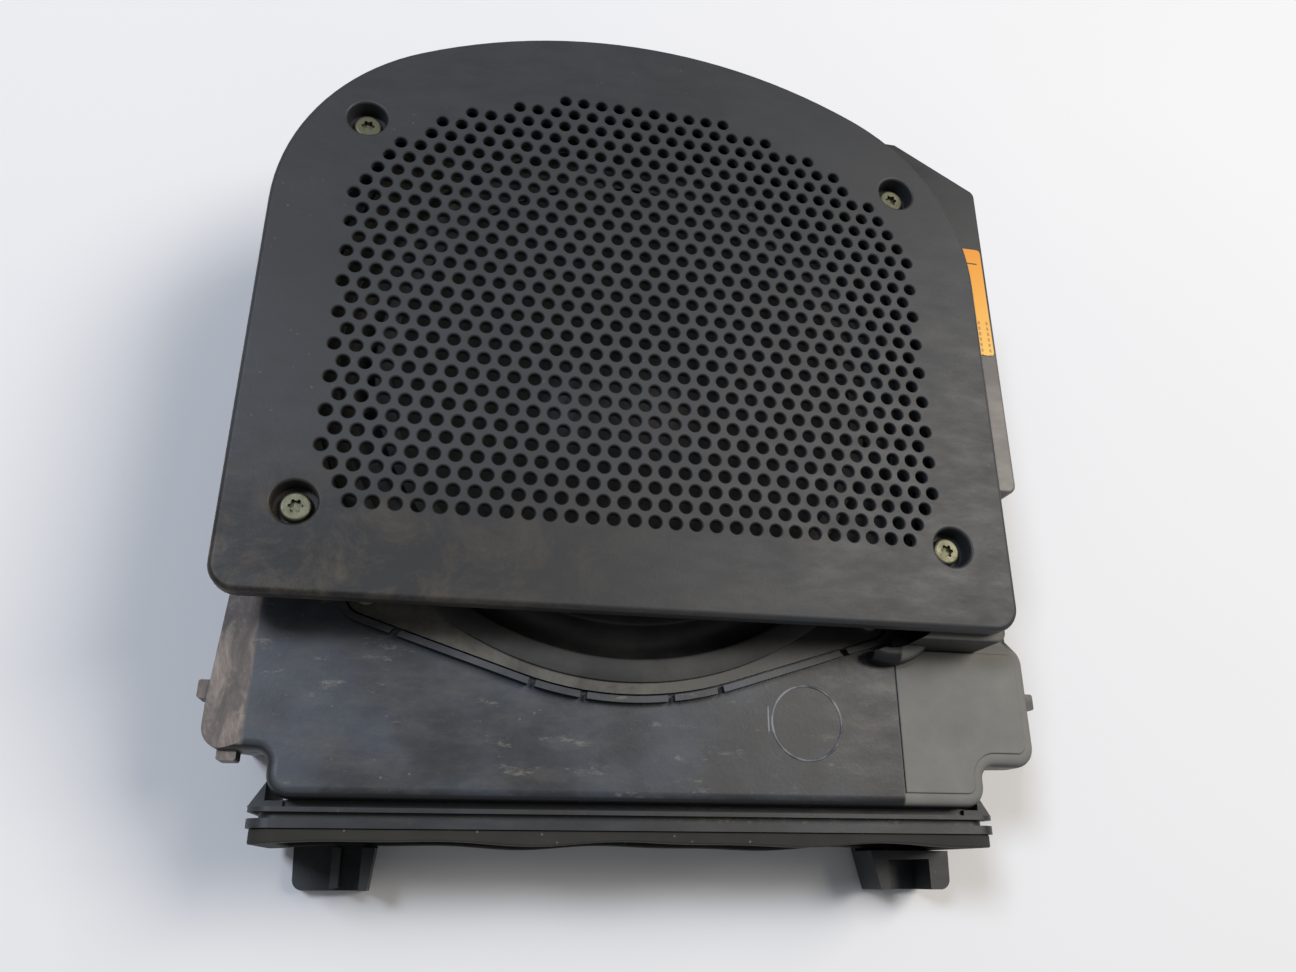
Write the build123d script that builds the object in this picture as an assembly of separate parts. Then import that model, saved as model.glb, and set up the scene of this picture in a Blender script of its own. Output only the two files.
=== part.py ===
from build123d import *
import math
import os

# Under-seat woofer box of a car: a flat sealed case with an eight-inch woofer in its lid,
# a perforated cover over the woofer, and a mouth with a seal and two hooked feet in front.
# Millimetres. +Z is up, +X is the right of the box and +Y its rear.
# The origin is on the floor face, straight below the woofer's axis.

# ---- Cutting shapes ----
far = 300.0              # past every side of the box
bite = 1.0               # how far a cutting shape runs past the face it cuts
tuck = 8.0               # how far one piece of the case's plan runs under the next

# ---- Case: heights and walls ----
plateau_rise = 18.0      # raised rim behind and beside the woofer, above the deck
seam_z = 34.0            # weld plane between the upper and the lower shell
wall = 3.0
draft_z = 50.0           # the sides stand upright above this height and draw in below it
case_draft = 5.0         # degrees
deck_edge_r = 3.2
plateau_edge_r = 1.2
floor_edge_r = 1.8

# ---- Case: plan ----
front_left_x = -124.0
front_right_x = 139.6
ledge_y = -127.6         # front of the wide part
front_side_y = -115.0    # where the left side of the wide part starts to draw in
shoulder_y = -90.0       # where the right of the plateau ends and the deck starts
shoulder_x = 123.0       # right side of the plateau beside the woofer
shoulder_step = 5.0      # length of the step in the right side behind the shoulder
rim_side_w = 20.0        # width of the plateau between the shoulder and the bulge
left_plateau_y = -70.0   # where the left of the plateau ends
bulge_x = 134.5          # right side of the case behind the shoulder
bulge_front_y = -37.0
bulge_corner_y = 90.3    # where its right side turns into the slope
bulge_rear_y = 108.7
bulge_slope = 30.0       # degrees between the slope and the X axis
plan_corner_r = 7.0
ledge_corner_r = 4.0     # inside corner between the neck and each ledge
least_corner_r = 0.5

# ---- Mouth: neck, frame and seal ----
neck_left_x = -104.5
neck_right_x = 119.8
neck_y = -140.6
flange_low_z = 3.0
flange_drop = 3.0        # the flange's top below the deck
flange_lip = 4.8         # how far the flange stands out beside the neck
flange_corner_r = 7.0
rib_y = -142.8           # rear of the first rib
rib_t = 1.3
groove_t = 1.8
groove_depth = 3.0
rim_t = 2.6
seal_t = 4.0
seal_inset = 1.0
seal_w = 7.0             # above and beside the mouth
seal_foot_gap = 0.3      # over and behind the feet
frame_collar_inset = 6.3 # the frame's collar behind its first rib, from the flange's outline
gusset_l = 5.0           # how far a gusset runs back along the neck
gusset_weld = 0.3        # how far it is sunk into the neck before it is trimmed
neck_weld_l = 12.0       # depth of the opening's cut behind the neck's front
mouth_side = 7.0         # frame wall beside the opening
neck_side = 8.0          # how far the opening in the neck's front stays inside its plan
mouth_low_z = 11.0
mouth_high_z = 49.0

# ---- Feet under the mouth ----
foot_front_y = -165.6
foot_top_z = 20.0
foot_floor_z = 3.0
foot_floor_t = 3.4
foot_wall = 2.6
left_foot_x = (-100.6, -73.0)
right_foot_x = (93.6, 124.8)
foot_taper = 4.6         # how far the inner side of a foot slants outwards
foot_outer_taper = (1.2, 0.6)   # left foot, right foot
foot_corner_r = 3.6
foot_rib_shift = 1.0     # right of the foot's middle
foot_rib_drop = 3.0      # below the foot's top
foot_rib_setback = 0.8
pocket_x = (101.6, 117.0)
pocket_y = -155.6

# ---- Cover ----
cover_rise = 8.0         # top of the cover above the raised rim
cover_plate_t = 2.5
cover_edge_h = 5.0
cover_half_w = 123.5
cover_front_y = -88.4
cover_front_r = 8.5
cover_corner_r = 76.7
cover_rear_r = 182.0
cover_rear_y = 129.3
cover_round_r = 1.8
cover_overhang = 3.0     # beyond the case behind the woofer
hole_pitch = 6.5
hole_r = 2.05
hole_mouth = 0.35        # chamfer round the top of each hole
hole_row_y = 7.8         # row number 0
hole_rows = (
    (-16, 10), (-15, 15), (-14, 20), (-13, 23), (-12, 24), (-11, 27), (-10, 28), (-9, 29), (-8, 30), (-7, 31),
    (10, 30), (11, 29), (12, 28),
)
full_rows = range(-6, 10)
full_row_holes = (30, 31)   # even rows, odd rows

# ---- Cover screws in their wells ----
cover_screws = ((-96.2, 77.8), (96.2, 77.8), (-102.8, -61.2), (102.8, -61.2))
well_r = 6.5
well_wall = 1.5
well_floor_t = 1.5
well_mouth_r = 1.0
well_hole_gap = 0.3
cover_head_r = 4.65
cover_head_h = 2.4
cover_shank_r = 1.7
cover_shank_l = 15.0
screw_post_r = 7.5
screw_clearance = 0.05
screw_round = 0.45       # head rounding, as a share of the head's height
lobe_ring = 0.36         # six-lobed socket, as shares of the head's radius
lobe_r = 0.12
socket_floor = 0.35      # of the head's height left under the socket

# ---- Woofer ----
frame_r = 108.5
frame_t = 1.2
ear_pitch_r = 115.3
ear_r = 5.8
gasket_t = 1.0
basket_r = 101.0         # outside of the basket just below its flange
basket_throat_r = 54.0
basket_depth = 26.0      # flange underside down to the spider shelf
knee_drop = 11.0         # flange underside down to the knee of the basket wall
knee_in = 1.0            # how far the wall draws in by the knee
basket_t = 1.5
magnet_seat_r = 21.6     # hole in the floor of the basket
spider_shelf_r = 44.0
window_count = 6
window_angle = 38.0      # degrees
window_rims = (4.0, 5.0)     # metal left inside and outside a window
ear_hole_gap = 0.4
gasket_inset = 0.5
deck_hole_gap = 1.0
woofer_head_r = 3.5
woofer_head_h = 2.2
woofer_shank_r = 1.5
woofer_shank_l = 12.0
woofer_boss_r = 4.5

# ---- Locating lip and recess round the woofer ----
lip_gap = 0.7
lip_t = 2.0
lip_h = 3.0
lip_gap_angles = (-106.0, -97.5, -83.0, -74.5, -128.0, -52.0, 180.0, 0.0, 90.0)
lip_gap_w = 2.2
recess_gap = 4.2
recess_front_x = (-87.7, 81.2)   # the recess is open in front between these
collar_xy = (87.7, -78.0)
collar_r = 18.0
collar_h = 7.0
collar_pocket_r = 12.9
collar_round_r = 4.0

# ---- Cone body ----
cone_r = 86.0
cone_lip_w = 5.0
cone_t = 1.2
cone_depth = 19.0
cap_r = 30.0
cap_rise = 8.0
cap_t = 0.8
roll_gap = 0.5           # cone edge to the start of the surround's roll
surround_t = 0.9
surround_outer_r = 98.0
surround_foot_w = 7.0
former_r = 12.4
former_t = 0.3
coil_t = 0.6
coil_h = 11.0
spider_t = 0.6
spider_wave = 2.0
spider_waves = 4
spider_flat = 3.0        # flat ring beside the former
spider_rim = 4.0         # flat ring inside the shelf's inner edge
spider_edge_gap = 2.0
glue_gap = 0.15          # between the moving parts and the soft parts glued to them

# ---- Magnet ----
pole_r = 12.0
pole_vent_r = 4.0
top_plate_t = 5.0
magnet_t = 12.0
back_plate_t = 5.0
back_plate_chamfer = 1.0
plate_r = 42.0
magnet_r = 45.0
magnet_hole_r = 18.0
gap_clearance = 0.4
magnet_gap = 5.0         # air between the back plate and the floor of the case

# ---- Terminals, leads and the plug socket ----
terminal_board = (3.0, 34.0, 12.0)
terminal_board_x = 82.0  # inner face of the board, under a spoke of the basket
eyelet_r = 1.6
terminal_t = 0.8
terminal_w = 6.3
terminal_l = 10.0
terminal_pitch = 18.0
lead_r = 0.7
lead_start = (-2.0, 2.8)     # from the board's inner face, and above the basket's underside
lead_knee = (-12.0, 13.5)    # from the same face, and above the shelf
lead_dip = ((60.0, 9.0), (50.0, 7.5))   # radius, height above the shelf
wire_r = 1.1
lead_end_r = 44.0        # where the braids meet the cone
lead_bend_share = 0.45   # share of the shorter run that a bend may take
socket_y = 40.0
socket_z = 22.0
socket_size = (16.0, 22.0, 13.0)
socket_wall = 1.8
socket_gap = 0.2         # round the body in its hole
socket_floor_t = 3.0
socket_room = (12.0, 5.0)    # depth cut for it, inside and outside the wall's face
socket_flange = 3.0
socket_flange_t = 2.0
pin_pitch = 8.0
pin_size = (14.0, 2.8, 0.8)
pin_tail = 4.0
wire_steps = (6.0, 9.0, 7.0, 5.0)    # first runs out of the socket: straight, then in, forward and up
wire_turn = (9.0, 3.0, 7.0)          # last runs: before the tab, its drop, and the straight end

# ---- Small items ----
label_x = (114.5, 133.0)
label_y = (17.0, 63.0)
label_t = 0.25
lug_top_z = 56.0
lug_h = 8.0
lug_out = 2.8
lug_w = 5.4
lug_edge_r = 0.8
left_lug_y = -113.0
right_lug_y = -108.0
right_lug_extra = 1.0
front_lug_x = -119.0
pad_x = 91.0             # left edge of the slightly raised right part of the deck
pad_h = 0.6
pad_margin = 1.0         # inside the rounding of the deck's edge
slope_x = -112.0         # right edge of the slope along the deck's left side
slope_drop = 3.6
floor_groove = (6.0, 1.0)    # width, depth
floor_groove_x = (-75.0, -25.0, 25.0, 75.0)
floor_groove_y = (-85.0, 80.0)
label_corner_r = 1.5

# ---- Heights worked out from the above ----
# The deck stands as high as the woofer is deep, with air left under the magnet.
magnet_stack = 2 * top_plate_t + magnet_t + back_plate_t
deck_z = wall + magnet_gap + magnet_stack + basket_depth - gasket_t
plateau_z = deck_z + plateau_rise
cover_top_z = plateau_z + cover_rise
flange_high_z = deck_z - flange_drop
gasket_z = deck_z + gasket_t
flange_z = gasket_z + frame_t
cone_top_z = flange_z - glue_gap
shelf_z = gasket_z - basket_depth
plate_z = shelf_z - top_plate_t
neck_mid_x = (neck_left_x + neck_right_x) / 2
neck_w = neck_right_x - neck_left_x
flange_w = neck_w + 2 * flange_lip
rim_y = rib_y - rib_t - groove_t
rim_front_y = rim_y - rim_t
foot_rear_y = rim_front_y - seal_t - seal_foot_gap


def slab(sketch, low, high):
    """The sketch as a straight block between two heights."""
    return extrude(Pos(0, 0, low) * sketch, amount=high - low)


def cylinder(x, y, radius, low, high):
    return Pos(x, y, (low + high) / 2) * Cylinder(radius, high - low)


def block(xs, ys, zs):
    """A plain block from its two ends along each axis."""
    size = [high - low for low, high in (xs, ys, zs)]
    centre = [(high + low) / 2 for low, high in (xs, ys, zs)]
    return Pos(*centre) * Box(*size)


def rect(xs, ys):
    return Pos((xs[0] + xs[1]) / 2, (ys[0] + ys[1]) / 2) * Rectangle(xs[1] - xs[0], ys[1] - ys[0])


def near(sketch, points):
    """The sketch's corners nearest to the given points."""
    return [min(sketch.vertices(), key=lambda v: (v.X - x) ** 2 + (v.Y - y) ** 2) for x, y in points]


def turned(points):
    """A ring turned about the Z axis from a closed outline of (radius, height)."""
    outline = Polyline(*[(r, 0, z) for r, z in points], close=True)
    return revolve(make_face(outline), Axis.Z)


def join(shapes):
    """Several separate solids kept as one group."""
    return Compound(children=[solid for shape in shapes for solid in shape.solids()])


def dome_plan(inset):
    """Plan of the cover: straight front and sides, two large rear corners, a flat rear arc."""
    half_w = cover_half_w - inset
    corner_r = cover_corner_r - inset
    rear_r = cover_rear_r - inset
    rear_y = cover_rear_y - inset
    front_y = cover_front_y + inset
    centre_x = half_w - corner_r
    rear_centre_y = rear_y - rear_r
    centre_y = rear_centre_y + math.sqrt((rear_r - corner_r) ** 2 - centre_x ** 2)
    reach = rear_r / (rear_r - corner_r)
    touch = (centre_x * reach, rear_centre_y + (centre_y - rear_centre_y) * reach)
    half_angle = math.atan2(touch[1] - centre_y, touch[0] - centre_x) / 2
    middle = (centre_x + corner_r * math.cos(half_angle), centre_y + corner_r * math.sin(half_angle))
    outline = [
        Line((-half_w, centre_y), (-half_w, front_y)),
        Line((-half_w, front_y), (half_w, front_y)),
        Line((half_w, front_y), (half_w, centre_y)),
        ThreePointArc((half_w, centre_y), middle, touch),
        ThreePointArc(touch, (0, rear_y), (-touch[0], touch[1])),
        ThreePointArc((-touch[0], touch[1]), (-middle[0], middle[1]), (-half_w, centre_y)),
    ]
    face = make_face(outline)
    return fillet(face.vertices().sort_by(Axis.Y)[:2], cover_front_r - inset / 2)


def bulge_plan(front_y, inset):
    """The right side behind the shoulder, cut off by a slope at its rear corner."""
    slope = math.tan(math.radians(bulge_slope))
    inner_x = cover_half_w / 2
    outer_x = bulge_x - inset
    corner_y = bulge_corner_y + inset * slope - inset * math.sqrt(1 + slope ** 2)
    rear_y = bulge_rear_y - inset
    points = [
        (inner_x, front_y + inset),
        (outer_x, front_y + inset),
        (outer_x, corner_y),
        (outer_x - (rear_y - corner_y) / slope, rear_y),
        (inner_x, rear_y),
    ]
    return make_face(Polyline(*points, close=True))


def case_plan(inset=0.0):
    """Plan of the whole case at deck height, with the neck in front."""
    left_x = front_left_x + inset
    right_x = front_right_x - inset
    front_y = ledge_y + inset
    behind_y = left_plateau_y + tuck
    front = make_face(Polyline(
        (inset - cover_half_w + cover_overhang, behind_y), (left_x, front_side_y), (left_x, front_y),
        (right_x, front_y), (right_x, shoulder_y - inset), (bulge_x - inset, shoulder_y + shoulder_step),
        (bulge_x - inset, behind_y), close=True))
    neck = rect((neck_left_x + inset, neck_right_x - inset), (neck_y + inset, front_y + wall))
    plan = dome_plan(cover_overhang + inset) + bulge_plan(left_plateau_y - inset, inset) + front + neck
    plan = fillet(near(plan, [
        (neck_left_x + inset, front_y), (neck_right_x - inset, front_y),
    ]), ledge_corner_r + inset)
    return fillet(near(plan, [
        (left_x, front_y), (right_x, front_y), (neck_left_x + inset, neck_y + inset),
        (neck_right_x - inset, neck_y + inset), (right_x, shoulder_y), (bulge_x - inset, bulge_corner_y),
    ]), max(plan_corner_r - inset, least_corner_r))


def plateau_plan(inset=0.0):
    """Plan of the raised rim, before the woofer's recess is cut out of it."""
    right_x = shoulder_x - inset
    rear = dome_plan(cover_overhang + inset) - rect((-far, far), (-far, left_plateau_y + inset))
    shoulder = rect((collar_xy[0], right_x), (shoulder_y + inset, left_plateau_y + tuck))
    side = rect((right_x - rim_side_w, right_x), (left_plateau_y, bulge_front_y + tuck))
    plan = rear + shoulder + side + bulge_plan(bulge_front_y, inset)
    if inset > 0:
        return plan
    corners = near(plan, [(shoulder_x, shoulder_y), (bulge_x, bulge_front_y), (bulge_x, bulge_corner_y)])
    return fillet(corners, plan_corner_r / 2)


def ear_places(radius):
    return [
        (radius * math.cos(math.radians(angle)), radius * math.sin(math.radians(angle)))
        for angle in (45, 135, 225, 315)
    ]


def woofer_plan(grow):
    """Round flange with four ears, each joined to the round by straight tangents."""
    big = frame_r + grow
    small = ear_r + grow
    lean = math.degrees(math.acos((frame_r - ear_r) / ear_pitch_r))
    plan = Circle(big)
    for angle, place in zip((45, 135, 225, 315), ear_places(ear_pitch_r)):
        ends = []
        for side in (-lean, lean):
            a = math.radians(angle + side)
            ends.append((big * math.cos(a), big * math.sin(a)))
            ends.append((place[0] + small * math.cos(a), place[1] + small * math.sin(a)))
        plan += make_face(Polyline((0, 0), ends[0], ends[1], ends[3], ends[2], close=True))
        plan += Pos(*place) * Circle(small)
    return plan


def case_block(inset, low, high):
    """The inset case as a solid: upright near the deck, drawn in towards the floor below that."""
    drawn_in = draft_z * math.tan(math.radians(case_draft))
    top = case_plan(inset)
    drafted = loft([case_plan(inset + drawn_in), Pos(0, 0, draft_z) * top], ruled=True)
    return drafted & block((-far, far), (-far, far), (low, draft_z)), slab(top, draft_z, high)


def case_solids():
    """Both shells as one hollow case, before it is parted at the seam."""
    plateau = plateau_plan()
    lower, upper = case_block(0, 0, deck_z)
    upper = fillet(upper.faces().sort_by(Axis.Z)[-1].edges(), deck_edge_r)
    lower = fillet(lower.faces().sort_by(Axis.Z)[0].edges(), floor_edge_r)
    rim = slab(plateau, deck_z - 2 * deck_edge_r, plateau_z)
    rim = fillet(rim.faces().sort_by(Axis.Z)[-1].edges(), plateau_edge_r)
    collar = cylinder(*collar_xy, collar_r, deck_z - wall, deck_z + collar_h)
    collar = fillet(collar.faces().sort_by(Axis.Z)[-1].edges(), collar_round_r)
    pad_plan = rect((pad_x, far), (-far, shoulder_y)) & case_plan(deck_edge_r + pad_margin)
    pad = slab(pad_plan, deck_z - wall / 2, deck_z + pad_h)
    pad = fillet(pad.faces().sort_by(Axis.Z)[-1].edges(), pad_h - pad_h / 10)
    outer = lower + upper + rim + collar + pad

    recess = woofer_plan(recess_gap)
    open_front = rect(recess_front_x, (-far, 0))
    outer -= slab(recess + open_front, deck_z, cover_top_z)
    outer -= cylinder(*collar_xy, collar_pocket_r, deck_z, cover_top_z)

    inside_low, inside_high = case_block(wall, wall, deck_z - wall)
    hollow_rim = slab(plateau_plan(wall), deck_z - wall - bite, plateau_z - wall)
    hollow_rim -= slab(woofer_plan(recess_gap + wall), deck_z - wall - 2 * bite, plateau_z)
    hollow_rim -= cylinder(*collar_xy, collar_pocket_r + wall, deck_z - wall - 2 * bite, plateau_z)
    for place in cover_screws:
        hollow_rim -= cylinder(*place, screw_post_r, deck_z - wall - 2 * bite, plateau_z)
    case = outer - inside_low - inside_high - hollow_rim
    for place in ear_places(ear_pitch_r):
        case += cylinder(*place, woofer_boss_r, deck_z - woofer_shank_l - wall, deck_z - wall / 2)
    return case


def left_slope():
    """Wedge cut away along the deck's left side."""
    section = Polyline(
        (slope_x, 0, deck_z), (front_left_x - bite, 0, deck_z - slope_drop),
        (front_left_x - bite, 0, deck_z + collar_h), (slope_x, 0, deck_z + collar_h), close=True)
    wedge = extrude(make_face(section), amount=ledge_y - wall - left_plateau_y, dir=(0, 1, 0))
    return Pos(0, left_plateau_y, 0) * wedge


def locating_lip():
    """Low segmented wall that centres the woofer's flange."""
    lip = slab(woofer_plan(lip_gap + lip_t) - woofer_plan(lip_gap), deck_z - wall / 2, deck_z + lip_h)
    cutter = block((frame_r, far), (-lip_gap_w / 2, lip_gap_w / 2), (deck_z, deck_z + lip_h + bite))
    for angle in lip_gap_angles:
        lip -= Rot(0, 0, angle) * cutter
    return lip


def case_lugs():
    low = lug_top_z - lug_h
    sides = (
        (front_left_x - lug_out, front_left_x + wall / 2, left_lug_y),
        (front_right_x - wall / 2, front_right_x + lug_out + right_lug_extra, right_lug_y),
    )
    lugs = [block((left, right), (y, y + lug_w), (low, lug_top_z)) for left, right, y in sides]
    front = (ledge_y - lug_out, ledge_y + wall / 2)
    lugs.append(block((front_lug_x, front_lug_x + lug_w), front, (low, lug_top_z)))
    return [fillet(lug.edges().filter_by(Axis.Z), lug_edge_r) for lug in lugs]


def shells():
    """Upper and lower shell, with every opening cut in the shell that holds it."""
    case = case_solids() + locating_lip()
    for lug in case_lugs():
        case += lug
    case -= left_slope()
    case -= cylinder(0, 0, basket_r + deck_hole_gap, deck_z - wall - bite, deck_z + bite)
    for place in ear_places(ear_pitch_r):
        hole_low = flange_z - woofer_shank_l - bite
        case -= cylinder(*place, woofer_shank_r + screw_clearance, hole_low, deck_z + bite)
    for place in cover_screws:
        hole_low = plateau_z + well_floor_t - cover_shank_l - bite
        case -= cylinder(*place, cover_shank_r + screw_clearance, hole_low, plateau_z + bite)
    opening_x = (neck_left_x + neck_side, neck_right_x - neck_side)
    case -= block(opening_x, (neck_y - wall, neck_y + neck_weld_l), (mouth_low_z, mouth_high_z))
    face_x = front_wall_x(socket_z)
    case -= block((face_x - socket_room[0], face_x + socket_room[1]), socket_span(socket_size[1]),
                  socket_height(socket_size[2]))
    for x in floor_groove_x:
        half = floor_groove[0] / 2
        case -= block((x - half, x + half), floor_groove_y, (-bite, floor_groove[1]))
    upper = case & block((-far, far), (-far, far), (seam_z, far))
    lower = case & block((-far, far), (-far, far), (-far, seam_z))
    return upper, lower


def front_wall_x(z):
    """Outside of the case's right wall at a height, where the plug socket sits."""
    return bulge_x - (draft_z - z) * math.tan(math.radians(case_draft))


def socket_span(width):
    return (socket_y - width / 2, socket_y + width / 2)


def socket_height(height):
    return (socket_z - height / 2, socket_z + height / 2)


def frame_slice(inset, y_rear, y_front, hole=True):
    """One upright layer of the mouth frame: a rounded ring between two depths."""
    width = flange_w - 2 * inset
    height = flange_high_z - flange_low_z - 2 * inset
    mid_z = (flange_high_z + flange_low_z) / 2
    plane = Plane(origin=(neck_mid_x, y_rear, mid_z), x_dir=(1, 0, 0), z_dir=(0, -1, 0))
    outline = RectangleRounded(width, height, flange_corner_r - inset / 2)
    ring = extrude(plane * outline, amount=y_rear - y_front)
    if hole:
        half = flange_w / 2 - mouth_side
        ring -= block((neck_mid_x - half, neck_mid_x + half), (y_front - bite, y_rear + bite),
                      (mouth_low_z, mouth_high_z))
    return ring


def mouth_frame():
    """Collar, sealing rib, groove and rim round the mouth, and the two feet below it."""
    collar = frame_slice(frame_collar_inset, neck_y, rib_y)
    rib = frame_slice(0, rib_y, rib_y - rib_t)
    groove = frame_slice(groove_depth, rib_y - rib_t, rim_y)
    rim = frame_slice(0, rim_y, rim_front_y)
    frame = collar + rib + groove + rim
    for side, neck_x in ((-1, neck_left_x), (1, neck_right_x)):
        gusset = make_face(Polyline(
            (neck_x + side * gusset_weld, neck_y + gusset_l), (neck_x + side * flange_lip, rib_y),
            (neck_x - side * flange_lip, rib_y), (neck_x - side * flange_lip, neck_y - gusset_weld),
            (neck_x + side * gusset_weld, neck_y - gusset_weld), close=True))
        frame += slab(gusset, mouth_low_z, flange_high_z - gusset_l)
    frame -= block((neck_left_x - flange_lip + mouth_side, neck_right_x + flange_lip - mouth_side),
                   (rim_front_y - bite, neck_y + bite), (mouth_low_z, mouth_high_z))
    frame -= case_envelope()
    return frame + left_foot() + right_foot()


def case_envelope():
    """Outside of the case below the deck, for what is fitted against it."""
    lower, upper = case_block(0, 0, deck_z)
    return lower + upper


def foot_plan(xs, taper_left, taper_right):
    """Plan of a foot: narrower towards its front, with the outer corner rounded."""
    left, right = xs
    plan = make_face(Polyline(
        (left, rim_y), (left + taper_left, foot_front_y), (right - taper_right, foot_front_y), (right, rim_y),
        close=True))
    corner_x = left + taper_left if taper_left < taper_right else right - taper_right
    return fillet(near(plan, [(corner_x, foot_front_y)]), foot_corner_r)


def left_foot():
    """Floor plate with a middle rib and an inner side wall, open above."""
    plan = foot_plan(left_foot_x, foot_outer_taper[0], foot_taper / 2)
    floor = slab(plan, foot_floor_z, foot_floor_z + foot_floor_t)
    inner_x = left_foot_x[1]
    side = slab(plan & rect((inner_x - foot_taper / 2 - foot_wall, inner_x), (foot_front_y, foot_rear_y)),
                foot_floor_z, foot_top_z)
    middle_x = (left_foot_x[0] + left_foot_x[1]) / 2 + foot_rib_shift
    rib = block((middle_x - foot_wall / 2, middle_x + foot_wall / 2),
                (foot_front_y + foot_rib_setback, foot_rear_y), (foot_floor_z, foot_top_z - foot_rib_drop))
    return floor + side + rib


def right_foot():
    """Solid foot with a pocket that is open above and in front."""
    plan = foot_plan(right_foot_x, foot_taper, foot_outer_taper[1])
    floor = slab(plan, foot_floor_z, foot_floor_z + foot_floor_t)
    foot = slab(plan & rect(right_foot_x, (foot_front_y, foot_rear_y)), foot_floor_z, foot_top_z) + floor
    pocket_z = (foot_floor_z + foot_floor_t, foot_top_z + bite)
    return foot - block(pocket_x, (foot_front_y - bite, pocket_y), pocket_z)


def mouth_seal():
    """Rubber ring on the front of the mouth frame; its lower run passes over the feet."""
    ring = frame_slice(seal_inset, rim_front_y, rim_front_y - seal_t, hole=False)
    half = flange_w / 2 - seal_inset - seal_w
    depth = (rim_front_y - seal_t - bite, rim_front_y + bite)
    ring -= block((neck_mid_x - half, neck_mid_x + half), depth,
                  (mouth_low_z, flange_high_z - seal_inset - seal_w))
    foot_clear_z = foot_floor_z + foot_floor_t + seal_foot_gap
    for xs in (left_foot_x, right_foot_x):
        ring -= block((xs[0] - seal_foot_gap, xs[1] + seal_foot_gap), depth, (0, foot_clear_z))
    return ring


def cover():
    """Perforated cover with a turned-down edge and four screw wells."""
    low = cover_top_z - cover_edge_h
    shell = slab(dome_plan(0), low, cover_top_z)
    shell = fillet(shell.faces().sort_by(Axis.Z)[-1].edges(), cover_round_r)
    shell -= slab(dome_plan(cover_plate_t), low - bite, cover_top_z - cover_plate_t)
    for place in cover_screws:
        shell += cylinder(*place, well_r + well_wall, plateau_z, cover_top_z - cover_round_r)
    for place in cover_screws:
        shell -= cylinder(*place, well_r, plateau_z + well_floor_t, cover_top_z + bite)
        shell -= cylinder(*place, cover_shank_r + well_hole_gap, plateau_z - bite, cover_top_z)
    rims = [
        edge for edge in shell.edges().filter_by(GeomType.CIRCLE)
        if abs(edge.radius - well_r) < 0.01 and abs(edge.center().Z - cover_top_z) < 0.01
    ]
    shell = fillet(rims, well_mouth_r)
    rows = list(hole_rows) + [(row, full_row_holes[row % 2]) for row in full_rows]
    drill = cylinder(0, 0, hole_r, cover_top_z - 2 * cover_plate_t, cover_top_z + bite)
    drill += Pos(0, 0, cover_top_z) * Cone(hole_r, hole_r + 2 * hole_mouth, 2 * hole_mouth)
    drills = []
    for row, count in rows:
        y = hole_row_y - row * hole_pitch * math.sqrt(3) / 2
        for index in range(count):
            x = (index - (count - 1) / 2) * hole_pitch
            drills.append(Pos(x, y) * drill)
    return shell - drills


def screw(place, seat_z, head_r, head_h, shank_r, shank_l):
    """Pan-head screw with a six-lobed socket."""
    head = cylinder(*place, head_r, seat_z, seat_z + head_h)
    head = fillet(head.faces().sort_by(Axis.Z)[-1].edges(), head_h * screw_round)
    socket = Circle(head_r * lobe_ring)
    for index in range(6):
        socket += Rot(0, 0, 60 * index) * Pos(head_r * lobe_ring, 0) * Circle(head_r * lobe_r)
    head -= slab(Pos(*place) * socket, seat_z + head_h * socket_floor, seat_z + head_h + bite)
    shank = cylinder(*place, shank_r, seat_z - shank_l, seat_z)
    return head + chamfer(shank.faces().sort_by(Axis.Z)[0].edges(), shank_r / 2)


def cover_screw_set():
    seat = plateau_z + well_floor_t
    sizes = (cover_head_r, cover_head_h, cover_shank_r, cover_shank_l)
    return join([screw(place, seat, *sizes) for place in cover_screws])


def woofer_screw_set():
    sizes = (woofer_head_r, woofer_head_h, woofer_shank_r, woofer_shank_l)
    return join([screw(place, flange_z, *sizes) for place in ear_places(ear_pitch_r)])


def ear_holes(low, high):
    return [cylinder(*place, woofer_shank_r + ear_hole_gap, low, high) for place in ear_places(ear_pitch_r)]


def woofer_gasket():
    plan = woofer_plan(-gasket_inset) - Circle(basket_r + deck_hole_gap)
    return slab(plan, deck_z, gasket_z) - ear_holes(0, far)


def basket_window():
    """Opening between two spokes, as a plan: two arcs and two radial sides."""
    inner_r = basket_throat_r + window_rims[0]
    outer_r = basket_r - window_rims[1]
    turn = math.radians(window_angle)
    return make_face([
        Line((inner_r, 0), (outer_r, 0)),
        CenterArc((0, 0), outer_r, 0, window_angle),
        Line((math.cos(turn) * outer_r, math.sin(turn) * outer_r),
             (math.cos(turn) * inner_r, math.sin(turn) * inner_r)),
        CenterArc((0, 0), inner_r, 0, window_angle),
    ])


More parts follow.
